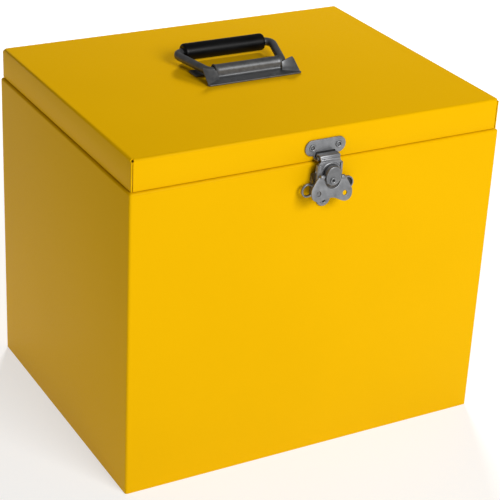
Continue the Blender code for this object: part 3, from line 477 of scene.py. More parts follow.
def mineral_board():
    """Pressed mineral-fibre board."""
    m = Nodes("mineral_board")
    fibre = m.noise(700.0, 5.0, 0.7, m.stretch((1.0, 1.0, 0.25)))
    cloud = m.noise(40.0, 4.0)
    colour = m.mix(m.spread(fibre, 0.35, 0.7, 0.0, 1.0), (0.66, 0.61, 0.51), (0.84, 0.81, 0.74))
    colour = m.mix(m.spread(cloud, 0.45, 0.75, 0.0, 0.3), colour, (0.58, 0.52, 0.43))
    return m.finish(Base_Color=colour, Roughness=m.spread(fibre, 0.3, 0.7, 0.85, 0.97),
                    Normal=m.bump(fibre, 0.5, 0.0004), Specular_IOR_Level=0.2)


def seal_rubber():
    """Graphite-filled swelling seal."""
    m = Nodes("seal_rubber")
    grain = m.noise(1500.0, 3.0)
    cloud = m.noise(70.0, 3.0)
    colour = m.mix(m.spread(cloud, 0.3, 0.7, 0.0, 1.0), (0.022, 0.022, 0.024), (0.045, 0.045, 0.047))
    return m.finish(Base_Color=colour, Roughness=m.spread(grain, 0.3, 0.7, 0.62, 0.82),
                    Normal=m.bump(grain, 0.35, 0.00015))


def grip_vinyl():
    """Smooth extruded vinyl, slightly matted by handling."""
    m = Nodes("grip_vinyl")
    along = m.noise(520.0, 3.0, 0.5, m.stretch((0.15, 1.0, 1.0)))
    cloud = m.noise(60.0, 3.0)
    colour = m.mix(m.spread(cloud, 0.3, 0.7, 0.0, 1.0), (0.0012, 0.0012, 0.0013), (0.0032, 0.0032, 0.0034))
    surface = m.bump(along, 0.12, 0.00015)
    return m.finish(Base_Color=colour, Roughness=m.spread(cloud, 0.3, 0.7, 0.34, 0.46), Normal=surface,
                    Specular_IOR_Level=0.18)


FINISHES = {
    "yellow_powder_coat": powder_coat(),
    "zinc_plated_steel": zinc("zinc", (0.20, 0.203, 0.210), (0.28, 0.283, 0.290), 0.34, 0.48, 500.0, 0.65),
    "dull_stamped_steel": zinc("dull_zinc", (0.115, 0.118, 0.122), (0.17, 0.173, 0.178), 0.38, 0.50,
                               380.0, 0.7),
    "galvanised_sheet": galvanised(),
    "insulation_board": mineral_board(),
    "fire_seal": seal_rubber(),
    "black_vinyl": grip_vinyl(),
}
# A darker zinc for the oval cap; only the crest of the cap's rolled rim keeps the plain zinc.
DARK_CAP_ZINC = zinc("darker_cap_face", (0.15, 0.152, 0.156), (0.21, 0.212, 0.216), 0.34, 0.46, 420.0, 0.8)
# Painted shade: a near-black zinc put on rivet bores, the keeper's slot, the right cup, the left ear's raised
# end and the wing's hole walls, where the real latch is only in shade.
PAINTED_SHADE = zinc("painted_recess_shade", (0.035, 0.034, 0.033), (0.06, 0.059, 0.058), 0.5, 0.65, 600.0, 0.5)


def piece(obj, name, body, slot, *nodes, smooth=35):
    """Name a finished piece, give it its finish, and tie it to its body and the nodes it stands for."""
    obj.name = name
    obj.data.name = name
    obj.data.materials.clear()
    obj.data.materials.append(FINISHES[slot])
    obj.data.shade_smooth()
    obj.data.set_sharp_from_angle(angle=math.radians(smooth))
    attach(obj, body)
    if nodes:
        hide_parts(*nodes)
    return obj


def refinish(obj, material, inside):
    """Give a second finish to the faces whose centre passes a test: painted shade in dark places, or the oval
    cap's darker zinc.
    """
    obj.data.materials.append(material)
    for face in obj.data.polygons:
        if inside(face.center):
            face.material_index = 1


# ---- Body ----------------------------------------------------------------------------------------
def add_sheet(obj, thickness, offset=-1):
    """Give a skin the thickness of its sheet, inwards by default."""
    solidify = obj.modifiers.new("sheet", "SOLIDIFY")
    solidify.thickness = thickness
    solidify.offset = offset
    solidify.use_even_offset = offset < 0
    return obj


def sheet_shell(name, low, high, thickness, bend, open_top=None, open_bottom=None, steps=6):
    """A box of bent sheet. An open end is the width of its inward flange, 0 for none, None if closed."""
    bm = block(low, high)
    for level, flange in ((low.z, open_bottom), (high.z, open_top)):
        if flange is None:
            continue
        faces = [f for f in bm.faces if all(abs(v.co.z - level) < 1e-6 for v in f.verts)]
        if flange:
            bmesh.ops.inset_region(bm, faces=faces, thickness=flange, use_even_offset=True)
        bmesh.ops.delete(bm, geom=faces, context="FACES")
    bends = [e for e in bm.edges if len(e.link_faces) == 2 and e.calc_face_angle(0) > 1.0]
    bmesh.ops.bevel(bm, geom=bends, offset=bend, offset_type="OFFSET", segments=steps, profile=0.5,
                    affect="EDGES", clamp_overlap=True)
    return soften(bake(add_sheet(from_bmesh(name, bm), thickness)), 0.2 * MM, 2, 60)


def make_body():
    walls = sheet_shell("walls", BODY_LOW, BODY_HIGH, SHEET, BEND, open_top=RIM, open_bottom=0, steps=8)
    piece(walls, "body_walls", "box", "yellow_powder_coat", "body_shell")
    low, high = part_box("bottom_plate")
    pan = sheet_shell("pan", low, high, SHEET, BEND, open_top=0, steps=6)
    piece(pan, "bottom_pan", "box", "yellow_powder_coat", "bottom_plate")
    low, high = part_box("inner_liner")
    tray = sheet_shell("tray", low, high, LINER_SHEET, 3 * MM, open_top=0, steps=6)
    spots = []
    for x in (low.x + LINER_SHEET, high.x - LINER_SHEET):
        for i in range(7):
            z = low.z + 30 * MM + i * 40 * MM
            for y in (low.y + 12 * MM, high.y - 12 * MM):
                spots.append(spot_weld(x, y, z))
    piece(join(tray, *spots), "document_tray", "box", "galvanised_sheet", "inner_liner")


def spot_weld(x, y, z):
    """A shallow spot-weld mark on the inside of the tray's left or right wall."""
    inwards = 1 if x < 0 else -1
    profile = mm((3.0, -0.4), (3.0, 0.05), (2.5, 0.22), (1.6, 0.12), (0, 0.08))
    return lathe("spot", profile, lambda u, v, w: Vector((x + inwards * w, y + u, z + v)), 16)


# ---- Lid -----------------------------------------------------------------------------------------
def make_lid_cover():
    """The lid's top, with four bent-down skirts that meet at open corner seams under small notches."""
    flat_x = LID_HIGH.x - BEND
    flat_y = LID_HIGH.y - BEND
    steps = 8
    bm = bmesh.new()
    flat = [bm.verts.new((sx * flat_x, sy * flat_y, LID_TOP))
            for sx, sy in ((-1, -1), (1, -1), (1, 1), (-1, 1))]
    bm.faces.new(flat)
    # Each side: its two flat corners, its outward direction, and its skirt's reach past the bend's ends.
    sides = ((0, 1, (0, -1), BEND - SHEET - SEAM), (1, 2, (1, 0), BEND),
             (2, 3, (0, 1), BEND - SHEET - SEAM), (3, 0, (-1, 0), BEND))
    for first, last, (ox, oy), past in sides:
        a = flat[first]
        b = flat[last]
        along = (b.co - a.co).normalized()
        rows = [(a, b)]
        for i in range(1, steps + 1):
            angle = math.pi / 2 * i / steps
            reach = BEND * math.sin(angle)
            offset = Vector((ox * reach, oy * reach, BEND * (math.cos(angle) - 1)))
            rows.append((bm.verts.new(a.co + offset), bm.verts.new(b.co + offset)))
        for (p, q), (r, s) in zip(rows, rows[1:]):
            bm.faces.new((p, r, s, q))
        p, q = rows[-1]
        drop = Vector((0, 0, LID_LOW.z - p.co.z))
        line = [bm.verts.new(p.co - along * past), p, q, bm.verts.new(q.co + along * past)]
        feet = [bm.verts.new(v.co + drop) for v in line]
        for i in range(3):
            bm.faces.new((line[i], feet[i], feet[i + 1], line[i + 1]))
    lid = from_bmesh("lid", bm)
    if lid.data.polygons[0].normal.z < 0:
        lid.data.flip_normals()
    lid = soften(bake(add_sheet(lid, SHEET)), 0.18 * MM, 2, 60)
    piece(lid, "lid_cover", "lid", "yellow_powder_coat", "lid_shell")


def make_lid_liner():
    low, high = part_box("lid_liner")
    liner = plate("liner", rounded_rectangle(low.x, low.y, high.x, high.y, 3 * MM), low.z, high.z, "flat",
                  edge=0.3 * MM)
    inset = 18 * MM
    places = [(low.x + inset + i * (high.x - low.x - 2 * inset) / 4, y)
              for i in range(5) for y in (low.y + inset, high.y - inset)]
    places += [(x, y) for y in (-60 * MM, 60 * MM) for x in (low.x + inset, high.x - inset)]
    heads = [pop_rivet("head", below(x, y, low.z), 3.0 * MM, 0.9 * MM, 0.4 * MM) for x, y in places]
    piece(join(liner, *heads), "lid_inner_plate", "lid", "galvanised_sheet", "lid_liner")


def make_lid_seal():
    low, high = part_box("lid_seal")
    width = 8 * MM
    middle = width / 2
    profile = rounded_rectangle(-middle, low.z, middle, high.z, 0.7 * MM, 3)
    corners = [(low.x + middle, low.y + middle), (high.x - middle, low.y + middle),
               (high.x - middle, high.y - middle), (low.x + middle, high.y - middle)]
    rings = []
    for x, y in corners:
        sx = -1 if x < 0 else 1
        sy = -1 if y < 0 else 1
        rings.append([Vector((x + sx * u, y + sy * u, z)) for u, z in profile])
    rings.append(rings[0])
    seal = weld(loft("seal", rings, closed_ends=False))
    piece(seal, "swelling_seal", "lid", "fire_seal", "lid_seal", smooth=50)


def pop_rivet(name, place, radius, height, sunk):
    """A blind rivet's domed head with the small pit that its mandrel leaves."""
    steps = 6
    rim = height * 0.18
    dome = height * 0.82 / math.sin(0.4 * math.pi)
    profile = [(0, -sunk), (radius * 0.6, -sunk), (radius * 0.6, 0), (radius, 0), (radius, rim)]
    for i in range(1, steps + 1):
        a = math.pi / 2 * i / steps * 0.8
        profile.append((radius * math.cos(a), rim + dome * math.sin(a)))
    pit = profile[-1][1]
    profile += [(radius * 0.26, pit), (radius * 0.22, pit - height * 0.35), (0, pit - height * 0.30)]
    return lathe(name, profile, place, 24)


# ---- Hinge ---------------------------------------------------------------------------------------
KNUCKLES = 9
KNUCKLE_RADIUS = 2.7 * MM
KNUCKLE_BORE = 1.38 * MM
LEAF = 1.2 * MM


def knuckle_span(index, half):
    pitch = 2 * half / KNUCKLES
    return -half + index * pitch + 0.25 * MM, -half + (index + 1) * pitch - 0.25 * MM


def hinge_leaf(name, profile, first, half):
    leaf = plate(name, profile, -half, half, "side", edge=0.12 * MM, resolution=1)
    slots = []
    knuckles = []
    for index in range(KNUCKLES):
        low, high = knuckle_span(index, half)
        if index % 2 == first:
            rim = KNUCKLE_RADIUS
            shoulder = rim - 0.25 * MM
            profile = [(KNUCKLE_BORE, low), (shoulder, low), (rim, low + 0.25 * MM),
                       (rim, high - 0.25 * MM), (shoulder, high), (KNUCKLE_BORE, high)]
            knuckles.append(lathe("knuckle", profile, along_x(HINGE.y, HINGE.z), 32, ring=True))
        else:
            reach = KNUCKLE_RADIUS + 0.5 * MM
            slots.append(box("slot", (low - 0.5 * MM, HINGE.y - reach, HINGE.z - reach),
                             (high + 0.5 * MM, HINGE.y + reach, HINGE.z + reach)))
    cut(leaf, *slots)
    cut(leaf, drill(KNUCKLE_BORE, -half - MM, half + MM, along_x(HINGE.y, HINGE.z), 24))
    return join(leaf, *knuckles)


def make_hinge():
    low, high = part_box("body_hinge_leaf")
    half = high.x
    inner = REAR + GAP
    top = HINGE.z - 0.5 * MM
    profile = [(inner, low.z), (inner + LEAF, low.z), (inner + LEAF, top), (inner, top)]
    lower = hinge_leaf("lower", profile, 0, half)
    piece(lower, "hinge_lower_leaf", "box", "yellow_powder_coat", "body_hinge_leaf")
    low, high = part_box("lid_hinge_leaf")
    lid_inner = LID_HIGH.y + GAP
    line = [(lid_inner, high.z), (lid_inner, HINGE.z + 5.5 * MM), (inner + 0.1 * MM, HINGE.z + 2.2 * MM),
            (inner + 0.5 * MM, HINGE.z + 0.9 * MM)]
    upper = hinge_leaf("upper", folded_strip(line, LEAF), 1, half)
    piece(upper, "hinge_upper_leaf", "lid", "yellow_powder_coat", "lid_hinge_leaf")
    low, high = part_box("hinge_pin")
    pin = rod("pin", (low.x, HINGE.y, HINGE.z), (high.x, HINGE.y, HINGE.z), 1.3 * MM)
    piece(pin, "hinge_wire", "box", "zinc_plated_steel", "hinge_pin")
    for body, node in (("box", "body_hinge_rivet"), ("lid", "lid_hinge_rivet")):
        for number in range(1, 6):
            low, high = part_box(f"{node}_{number}")
            x = (low.x + high.x) / 2
            z = (low.z + high.z) / 2
            head = pop_rivet("head", on_rear(x, z, low.y), (high.x - low.x) / 2, high.y - low.y, 0)
            piece(head, f"{node}_{number}_head", body, "zinc_plated_steel", f"{node}_{number}")


# ---- Handle --------------------------------------------------------------------------------------
HALF_WIDTH = 51.7 * MM
HALF_DEPTH = 22.7 * MM
ROD_RADIUS = 4.2 * MM
HUMP_RADIUS = ROD_RADIUS + GAP + HANDLE_SHEET
REST_TILT = math.radians(4.3)
BAIL_SHIFT = -0.6 * MM
BAIL_REACH = 50.1 * MM
BAIL_LOW = 41.6 * MM              # half the loop's width at the pivot
BAIL_HIGH = 56.2 * MM             # and at the grip
GRIP_HALF = 45.9 * MM
GRIP_RADIUS = 8.75 * MM
WING = ((51.2 * MM, -20.2 * MM, 0.3 * MM), (35.6 * MM, -9.4 * MM, 0.3 * MM),
        (36.9 * MM, -5.4 * MM, 9.0 * MM), (49.8 * MM, -4.9 * MM, 12.6 * MM))
LEFT_EXTRA = 1.6 * MM             # the base reaches a little further on the left
LEFT_PEAK_SHIFT = (-3.2 * MM, 0.0, 1.0 * MM)


def hump_profile(swell):
    """The stamped channel's outer line from front to rear, as (y, z above the flange's top)."""
    flange = LID_TOP + GAP + HANDLE_SHEET
    centre = PIVOT.z - flange
    radius = HUMP_RADIUS + swell
    foot = 2.4 * MM
    line = [(-HALF_DEPTH + 2 * MM, 0.0), (-radius - foot - 3 * MM, 0.0)]
    line += arc(-radius - foot, foot, foot, -90, 0, 6)
    line += arc(0, centre, radius, 180, 0, 24)[1:-1]
    line += [(-y, z) for y, z in reversed(arc(-radius - foot, foot, foot, -90, 0, 6))]
    line += [(radius + foot + 3 * MM, 0.0), (HALF_DEPTH - 2 * MM, 0.0)]
    return [(y, z + flange) for y, z in line]


def make_handle_base():
    # The channel's end flares: (distance along it, how far it swells), in millimetres.
    right = [(11, 0), (22, 0), (33.0, 0), (34.6, 0.12), (35.6, 0.4), (36.2, 0.75), (36.5, 0.9)]
    stations = mm(*[(-x, swell) for x, swell in reversed(right)], (0, 0), *right)
    rings = [[Vector((x, y, z)) for y, z in hump_profile(swell)] for x, swell in stations]
    hump = loft("hump", rings, closed_ends=False, cyclic=False)
    top = max(hump.data.polygons, key=lambda f: f.center.z)
    if top.normal.z < 0:
        hump.data.flip_normals()
    base = soften(bake(add_sheet(hump, HANDLE_SHEET)), 0.25 * MM, 2, 60)
    low = LID_TOP + GAP
    high = low + HANDLE_SHEET + 0.03 * MM
    right, left = flange_side(0), flange_side(LEFT_EXTRA)
    front = plate("front", right + [(-x, y) for x, y in reversed(left)], low, high, "flat", edge=0.4 * MM)
    rear_outline = rounded_rectangle(-HALF_WIDTH - LEFT_EXTRA, 6 * MM, HALF_WIDTH, HALF_DEPTH, 2 * MM)
    rear = plate("rear", rear_outline, low, high, "flat", edge=0.4 * MM)
    ribs = []
    rib_z = high - 0.15 * MM
    for x in (-22 * MM, 22 * MM):
        for side in (-1, 1):
            foot = (x, -20.0 * MM, rib_z)
            tip = (x + side * 4.2 * MM, -16.6 * MM, rib_z)
            ribs.append(rod("rib", foot, tip, 0.75 * MM, 16, 0.95))
    join(base, front, rear, handle_wing(1), handle_wing(-1), *ribs)
    piece(weld(base, 0.000002), "handle_stamping", "lid", "dull_stamped_steel", "handle_base", smooth=42)


def flange_side(extra):
    """One half of the front flange's outline, as far as the wing's slanted fold."""
    (outer_x, outer_y, _), (inner_x, inner_y, _) = WING[:2]
    corner = 3 * MM
    side = arc(HALF_WIDTH - corner + extra, -HALF_DEPTH + corner, corner, -90, 0, 8)
    side += [(outer_x + 0.5 * MM + extra, outer_y + 0.6 * MM), (inner_x + 0.5 * MM, inner_y + 0.6 * MM),
             (inner_x - MM, -HUMP_RADIUS - 0.5 * MM)]
    return side


def handle_wing(side):
    """A flared wing: it leaves the front flange along a slanted fold and rises, twisting, by the hump."""
    corners = [Vector((side * x, y, LID_TOP + z)) for x, y, z in WING]
    outer_low, inner_low, inner_high, outer_high = corners
    if side < 0:
        outer_low.x -= LEFT_EXTRA
        outer_high += Vector(LEFT_PEAK_SHIFT)
    steps = 16
    rows = []
    for i in range(steps + 1):
        t = i / steps
        inner = inner_low.lerp(inner_high, t)
        outer = outer_low.lerp(outer_high, t)
        row = []
        for j in range(steps + 1):
            s = j / steps
            point = inner.lerp(outer, s)
            # The free corner at the top of the wing is rounded off.
            reach = max(0.0, t - 0.82) / 0.18
            pull = max(0.0, s - 0.82) / 0.18
            if reach + pull > 1.0:
                inside = inner.lerp(outer, 0.86).lerp(inner_low.lerp(outer_low, 0.86), 0.05)
                point = point.lerp(inside, 0.35 * (reach + pull - 1.0))
            # A soft crease where the sheet leaves the flange.
            point += Vector((0, -0.9 * MM, 0)) * math.sin(math.pi * min(1.0, t / 0.35)) * 0.35
            row.append(point)
        rows.append(row)
    wing = loft("wing", rows, closed_ends=False, cyclic=False)
    normal = wing.data.polygons[0].normal
    if normal.y > 0:
        wing.data.flip_normals()
    return soften(bake(add_sheet(wing, HANDLE_SHEET, 1)), 0.35 * MM, 3, 60)


def make_bail():
    tilt = Matrix.Translation(PIVOT) @ Matrix.Rotation(REST_TILT, 4, "X")
    shift = BAIL_SHIFT
    reach = BAIL_REACH
    corners = [(shift - BAIL_LOW, 0), (shift + BAIL_LOW, 0), (shift + BAIL_HIGH, reach),
               (shift - BAIL_HIGH, reach)]
    path = rounded_path(corners, (7 * MM, 7 * MM, 8 * MM, 8 * MM), 14, closed=True)
    count = len(path)
    rings = []
    for i, point in enumerate(path):
        tangent = (Vector(path[(i + 1) % count]) - Vector(path[i - 1])).normalized()
        side = Vector((tangent.y, -tangent.x, 0))
        rings.append([tilt @ (Vector((point.x, point.y, 0)) + side * ROD_RADIUS * math.cos(a)
                              + Vector((0, 0, ROD_RADIUS * math.sin(a))))
                      for a in (2 * math.pi * k / 28 for k in range(28))])
    rings.append(rings[0])
    bail = weld(loft("bail", rings, closed_ends=False))
    piece(bail, "carrying_bail", "handle", "dull_stamped_steel", "handle_bail", smooth=60)

    half = GRIP_HALF
    radius = GRIP_RADIUS
    bore = ROD_RADIUS + GAP
    edge_w = 2.6 * MM
    edge_r = 2.4 * MM
    right = [(radius - edge_r + edge_r * math.cos(a), half - edge_w + edge_w * math.sin(a))
             for a in (math.pi / 2 * i / 8 for i in range(9))]
    body = [(radius, w * half) for w in (-0.9, -0.6, -0.3, 0, 0.3, 0.6, 0.9)]
    profile = [(bore, -half + 0.8 * MM), (bore + 0.5 * MM, -half)] + [(r, -w) for r, w in reversed(right)]
    profile += body + right + [(bore + 0.5 * MM, half), (bore, half - 0.8 * MM)]
    centre = tilt @ Vector((shift, reach, 0))
    spin = Matrix.Rotation(REST_TILT, 3, "X")
    grip = lathe("grip", profile, lambda u, v, w: centre + spin @ Vector((w, u, v)), 48, ring=True)
    piece(grip, "sleeve_grip", "handle", "black_vinyl", "handle_grip", smooth=60)


# ---- Latch ---------------------------------------------------------------------------------------
HOUSING_FRONT = 8.0 * MM          # depths in front of the body's face
LINK_FRONT = 11.0 * MM
WING_PIN_DEPTH = 15.15 * MM
WING_PIN_Z = 306.9 * MM
WING_BORE = 1.08 * MM
WING_HOLE_X = 14.4 * MM
WING_HOLE_DROP = 15.6 * MM
WING_FLARE = math.radians(13)
RIVET_HOLE = 2.2 * MM
POST_Z = DRUM.z - 4.3 * MM        # the eccentric post before the drum goes over centre
LINK_HALF = 12.6 * MM
HOOK_HALF = 10.5 * MM
BASE_HALF = 14.2 * MM
LOBE_Z = 278.6 * MM
LOBE_RADIUS = 7.3 * MM
CUP_X = 21.6 * MM
CUP_Z = 294.0 * MM
EYE_X = -21.0 * MM
EYE_Z = 293.0 * MM
KEEPER_Z = 331.3 * MM
SLOT_HALF = 10.9 * MM             # the keeper's slot, which the hook drops into
SLOT_BACK = 0.5 * MM
# The right half of the butterfly's outline, in millimetres across and up from the pins' axis.
WING_EDGE = ((8.9, 0.9), (9.6, 1.3), (11.4, 1.45), (13.2, 1.0), (15.4, -1.0), (18.0, -4.6), (20.4, -8.4),
             (22.2, -11.8), (22.5, -14.8), (22.1, -18.0), (20.6, -20.8), (17.8, -22.7), (14.6, -23.4),
             (11.6, -22.8), (8.4, -21.6), (5.0, -20.3), (2.0, -19.7))
WING_NOTCH = ((2.6, -10.7), (5.4, -9.2), (7.6, -6.6), (8.8, -3.4))


def dished_rivet(name, place, radius, shank):
    """A hollow rivet's rolled head: an outer ring, a dish and a small bore."""
    profile = [(0, -shank), (1.85 * MM, -shank), (1.85 * MM, -0.05 * MM), (radius - 0.1 * MM, 0.0),
               (radius, 0.25 * MM), (radius - 0.25 * MM, 0.75 * MM), (radius - 0.7 * MM, 1.05 * MM),
               (radius - 1.2 * MM, 1.0 * MM), (radius - 1.6 * MM, 0.6 * MM), (radius - 1.95 * MM, 0.32 * MM),
               (1.15 * MM, 0.25 * MM), (0.95 * MM, 0.05 * MM), (0.85 * MM, -0.8 * MM), (0, -0.9 * MM)]
    return lathe(name, profile, place, 28)


def paint_bore_shade(rivet, x, z, radius=1.9 * MM):
    """Painted shade: a near-black finish over a hollow rivet's bore and the middle of its dished head."""
    refinish(rivet, PAINTED_SHADE, lambda c: math.hypot(c.x - x, c.z - z) < radius)


def drum_turned(obj):
    return turned(obj, (0, 1, 0), OVER_CENTRE, (0, 0, DRUM.z))


def make_keeper():
    near = -1.9 * MM
    far = near + LATCH_SHEET
    keeper = front_plate("keeper", obround(0, KEEPER_Z, 21.8 * MM, 7.9 * MM, 20), near, far, edge=0.45 * MM)
    notch = rounded_rectangle(-SLOT_HALF, 315 * MM, SLOT_HALF, 327.2 * MM, 1.6 * MM)
    cut(keeper, front_plate("notch", notch, near + SLOT_BACK, far + MM))
    line = [(FRONT - far, 328.2 * MM), (FRONT - far, 321.6 * MM), (FRONT - 5.6 * MM, 321.6 * MM),
            (FRONT - 5.6 * MM, 324.6 * MM)]
    path = [tuple(p) for p in rounded_path(line, (0, 0.9 * MM, 0.9 * MM, 0), 5)]
    lip = plate("lip", folded_strip(path, 1.3 * MM), -12.3 * MM, 12.3 * MM, "side", edge=0.3 * MM)
    cut(lip, box("slot", (-SLOT_HALF, FRONT - far, 322.2 * MM),
                 (SLOT_HALF, FRONT - near - SLOT_BACK, 329 * MM)))
    join(keeper, lip)
    piece(keeper, "keeper_plate", "lid", "zinc_plated_steel", "keeper", smooth=45)
    # Painted shade on the back and walls of the keeper's slot.
    refinish(keeper, PAINTED_SHADE, lambda c: abs(c.x) < 10.85 * MM and c.z < 327.1 * MM
             and FRONT - far + 0.05 * MM < c.y < FRONT - near - 0.1 * MM)
    for number, x in enumerate((-14.2 * MM, 14.2 * MM), 1):
        z = 331.7 * MM
        rivet = dished_rivet("rivet", on_front(x, z, far + 0.05 * MM), 3.55 * MM, 1.2 * MM)
        node = f"keeper_rivet_{number}"
        piece(rivet, node + "_head", "lid", "zinc_plated_steel", node, smooth=50)
        # Painted shade over the keeper rivet's bore.
        paint_bore_shade(rivet, x, z)


def make_base():
    near = GAP
    far = near + LATCH_SHEET
    low = 282 * MM
    half = BASE_HALF
    swing = math.degrees(math.asin((low - LOBE_Z) / LOBE_RADIUS))
    outline = arc(0, LOBE_Z, LOBE_RADIUS, 180 - swing, 360 + swing, 24)
    right = arc(half - 3 * MM, low + 3 * MM, 3 * MM, -90, 0, 6)
    right += arc(half - 3 * MM, 304 * MM, 3 * MM, 0, 90, 6)
    right += [(8.6 * MM, 307.1 * MM), (8 * MM, 307.7 * MM)]
    right += arc(5 * MM, 314 * MM, 3 * MM, 0, 90, 6)
    outline = outline + right + [(-u, v) for u, v in reversed(right)]
    base = front_plate("base", outline, near, far, edge=0.4 * MM)
    flank = [(0, far - 0.6 * MM), (11.0 * MM, far - 0.6 * MM), (10.7 * MM, far + 0.4 * MM),
             (10.3 * MM, far + 1.2 * MM)] + mm((9.9, 6.6), (9.6, 7.4), (8.9, 8.0), (0, 8.0))
    housing = lathe("housing", flank, on_front(0, DRUM.z), 48)
    ear_line = [(FRONT - near, 285 * MM), (FRONT - 7.2 * MM, 285 * MM), (FRONT - 7.2 * MM, 300 * MM),
                (FRONT - 9.3 * MM, 308.8 * MM), (FRONT - 9.5 * MM, 310.6 * MM),
                (FRONT - 8.8 * MM, 311.8 * MM), (FRONT - near, 306.4 * MM)]
    left_ear = plate("ear", ear_line, -half - 1.0 * MM, -half + 0.6 * MM, "side", edge=0.45 * MM)
    ear_line = [(FRONT - near, 288 * MM), (FRONT - 7.2 * MM, 288 * MM), (FRONT - 7.2 * MM, 299.5 * MM),
                (FRONT - near, 302 * MM)]
    right_ear = plate("ear", ear_line, half - 0.2 * MM, half + 1.4 * MM, "side", edge=0.35 * MM)
    eye_place = on_front(EYE_X, EYE_Z)
    eye = lathe("eye", mm((5.2, 5.6), (5.5, 5.4), (6.6, 5.4), (7.0, 5.8), (7.0, 7.4), (6.75, 7.85),
                          (6.3, 8.0), (5.7, 8.0), (5.35, 7.8), (5.2, 7.4)), eye_place, 40, ring=True)
    bridge = front_plate("bridge", rounded_rectangle(EYE_X, 286.6 * MM, -half + 0.2 * MM, 299.4 * MM, MM),
                         6.4 * MM, HOUSING_FRONT, edge=0.35 * MM)
    cut(bridge, drill(5.2 * MM, 4 * MM, 12 * MM, eye_place, 40))
    cup_place = on_front(CUP_X, CUP_Z)
    cup = lathe("cup", mm((0, 4.6), (6.0, 4.6), (6.6, 4.9), (6.9, 5.5), (6.9, 7.5), (6.7, 7.9), (6.2, 8.0),
                          (5.7, 7.85), (5.45, 7.3), (5.3, 6.2), (4.9, 5.8), (0, 5.75)), cup_place, 40)
    right_bridge = front_plate("bridge", rounded_rectangle(half - 0.2 * MM, 288 * MM, CUP_X, 300 * MM, MM),
                               6.4 * MM, HOUSING_FRONT, edge=0.35 * MM)
    cut(right_bridge, drill(5.5 * MM, 5.9 * MM, 12 * MM, cup_place, 40))
    join(base, housing, left_ear, right_ear, bridge, eye, right_bridge, cup)
    centre = on_front(0, DRUM.z)
    hollow = lathe("hollow", mm((0, -1), (8.4, -1), (8.2, 5.9), (7.8, 6.4), (0, 6.4)), centre, 48)
    cut(base, hollow, drill(5.2 * MM, 0, 20 * MM, centre, 32))
    places = mm((0, 277.2), (-9.4, 287.4), (9.4, 287.4))
    for x, z in places:
        cut(base, drill(RIVET_HOLE, -MM, 4 * MM, on_front(x, z), 20))
    piece(base, "latch_back_plate", "box", "zinc_plated_steel", "latch_base", smooth=45)
    # Painted shade inside the right cup and on the left ear's raised end.
    refinish(base, PAINTED_SHADE, lambda c: in_cup(c) or on_ear(c))
    for number, (x, z) in enumerate(places, 1):
        rivet = dished_rivet("rivet", on_front(x, z, far + 0.05 * MM), 3.4 * MM, 1.5 * MM)
        node = f"latch_base_rivet_{number}"
        piece(rivet, f"latch_rivet_{number}_head", "box", "zinc_plated_steel", node, smooth=50)
        # Painted shade over the base rivet's bore.
        paint_bore_shade(rivet, x, z)


def in_cup(c):
    """Whether a point of the latch's base is inside the cup."""
    deep = FRONT - 7.35 * MM < c.y < FRONT - 5.5 * MM
    return deep and math.hypot(c.x - CUP_X, c.z - CUP_Z) < 5.42 * MM


def on_ear(c):
    """Whether a point of the latch's base is on the left ear's raised end."""
    beside = -BASE_HALF - 1.05 * MM < c.x < -BASE_HALF + 0.7 * MM
    return beside and 300.5 * MM < c.z < 311.0 * MM and c.y < FRONT - 2.6 * MM


def make_drum():
    profile = mm((0, 3.0), (7.1, 3.0), (7.4, 3.3), (7.4, 4.3), (7.1, 4.6), (4.9, 4.6), (4.9, 8.3), (6.2, 8.3),
                 (6.4, 8.5), (6.4, 8.9), (6.2, 9.1), (0, 9.1))
    drum = lathe("drum", profile, on_front(0, DRUM.z), 40)
    post = drill(6.6 * MM, 8.6 * MM, 12.4 * MM, on_front(0, POST_Z), 40)
    outline = obround(0, DRUM.z, 7.7 * MM, 9.3 * MM, 20)
    join(drum, post, front_plate("head", outline, 12.2 * MM, 16.4 * MM, edge=0.6 * MM))
    cut(drum, drill(RIVET_HOLE, 12.8 * MM, 20 * MM, on_front(0, POST_Z), 20))
    pin_place = along_x(FRONT - WING_PIN_DEPTH, WING_PIN_Z)
    for side in (-1, 1):
        cut(drum, drill(WING_BORE, side * 4.2 * MM, side * 20 * MM, pin_place, 20))
    piece(drum_turned(drum), "drum_spindle", "drum", "zinc_plated_steel", "latch_drum", smooth=45)

    # The oval cap: a rolled rim round a very slightly sunk face.
    levels = mm((0.0, 16.7), (0.0, 17.25), (0.12, 17.6), (0.4, 17.92), (0.8, 18.1), (1.15, 18.12),
                (1.5, 17.98), (1.9, 17.8), (2.6, 17.72), (4.0, 17.68))
    rings = []
    for inset, w in levels:
        oval = obround(0, DRUM.z, 8.1 * MM - inset, 9.7 * MM - inset, 20)
        rings.append([Vector((u, FRONT - w, v)) for u, v in oval])
    cap = loft("cap", rings)
    cut(cap, drill(RIVET_HOLE, 12 * MM, 20 * MM, on_front(0, POST_Z), 24))
    piece(drum_turned(cap), "oval_cap", "drum", "zinc_plated_steel", "drum_cap", smooth=45)
    # All of the cap but the crest of its rolled rim takes the darker zinc.
    refinish(cap, DARK_CAP_ZINC, lambda c: c.y > FRONT - 18.11 * MM)
    rivet = dished_rivet("rivet", on_front(0, POST_Z, 17.8 * MM), 3.2 * MM, 4.6 * MM)
    piece(drum_turned(rivet), "cap_rivet_head", "drum", "zinc_plated_steel", "cap_rivet", smooth=50)
    # Painted shade over the cap rivet's bore.
    paint_bore_shade(rivet, POST.x, POST.z, 1.5 * MM)
    for number, side in enumerate((-1, 1), 1):
        start = (side * 4.6 * MM, FRONT - WING_PIN_DEPTH, WING_PIN_Z)
        end = (side * 13.5 * MM, FRONT - WING_PIN_DEPTH, WING_PIN_Z)
        pin = drum_turned(rod("pin", start, end, 1.0 * MM, 20, 0.4))
        piece(pin, f"wing_stub_{number}", "drum", "zinc_plated_steel", f"wing_pin_{number}", smooth=50)


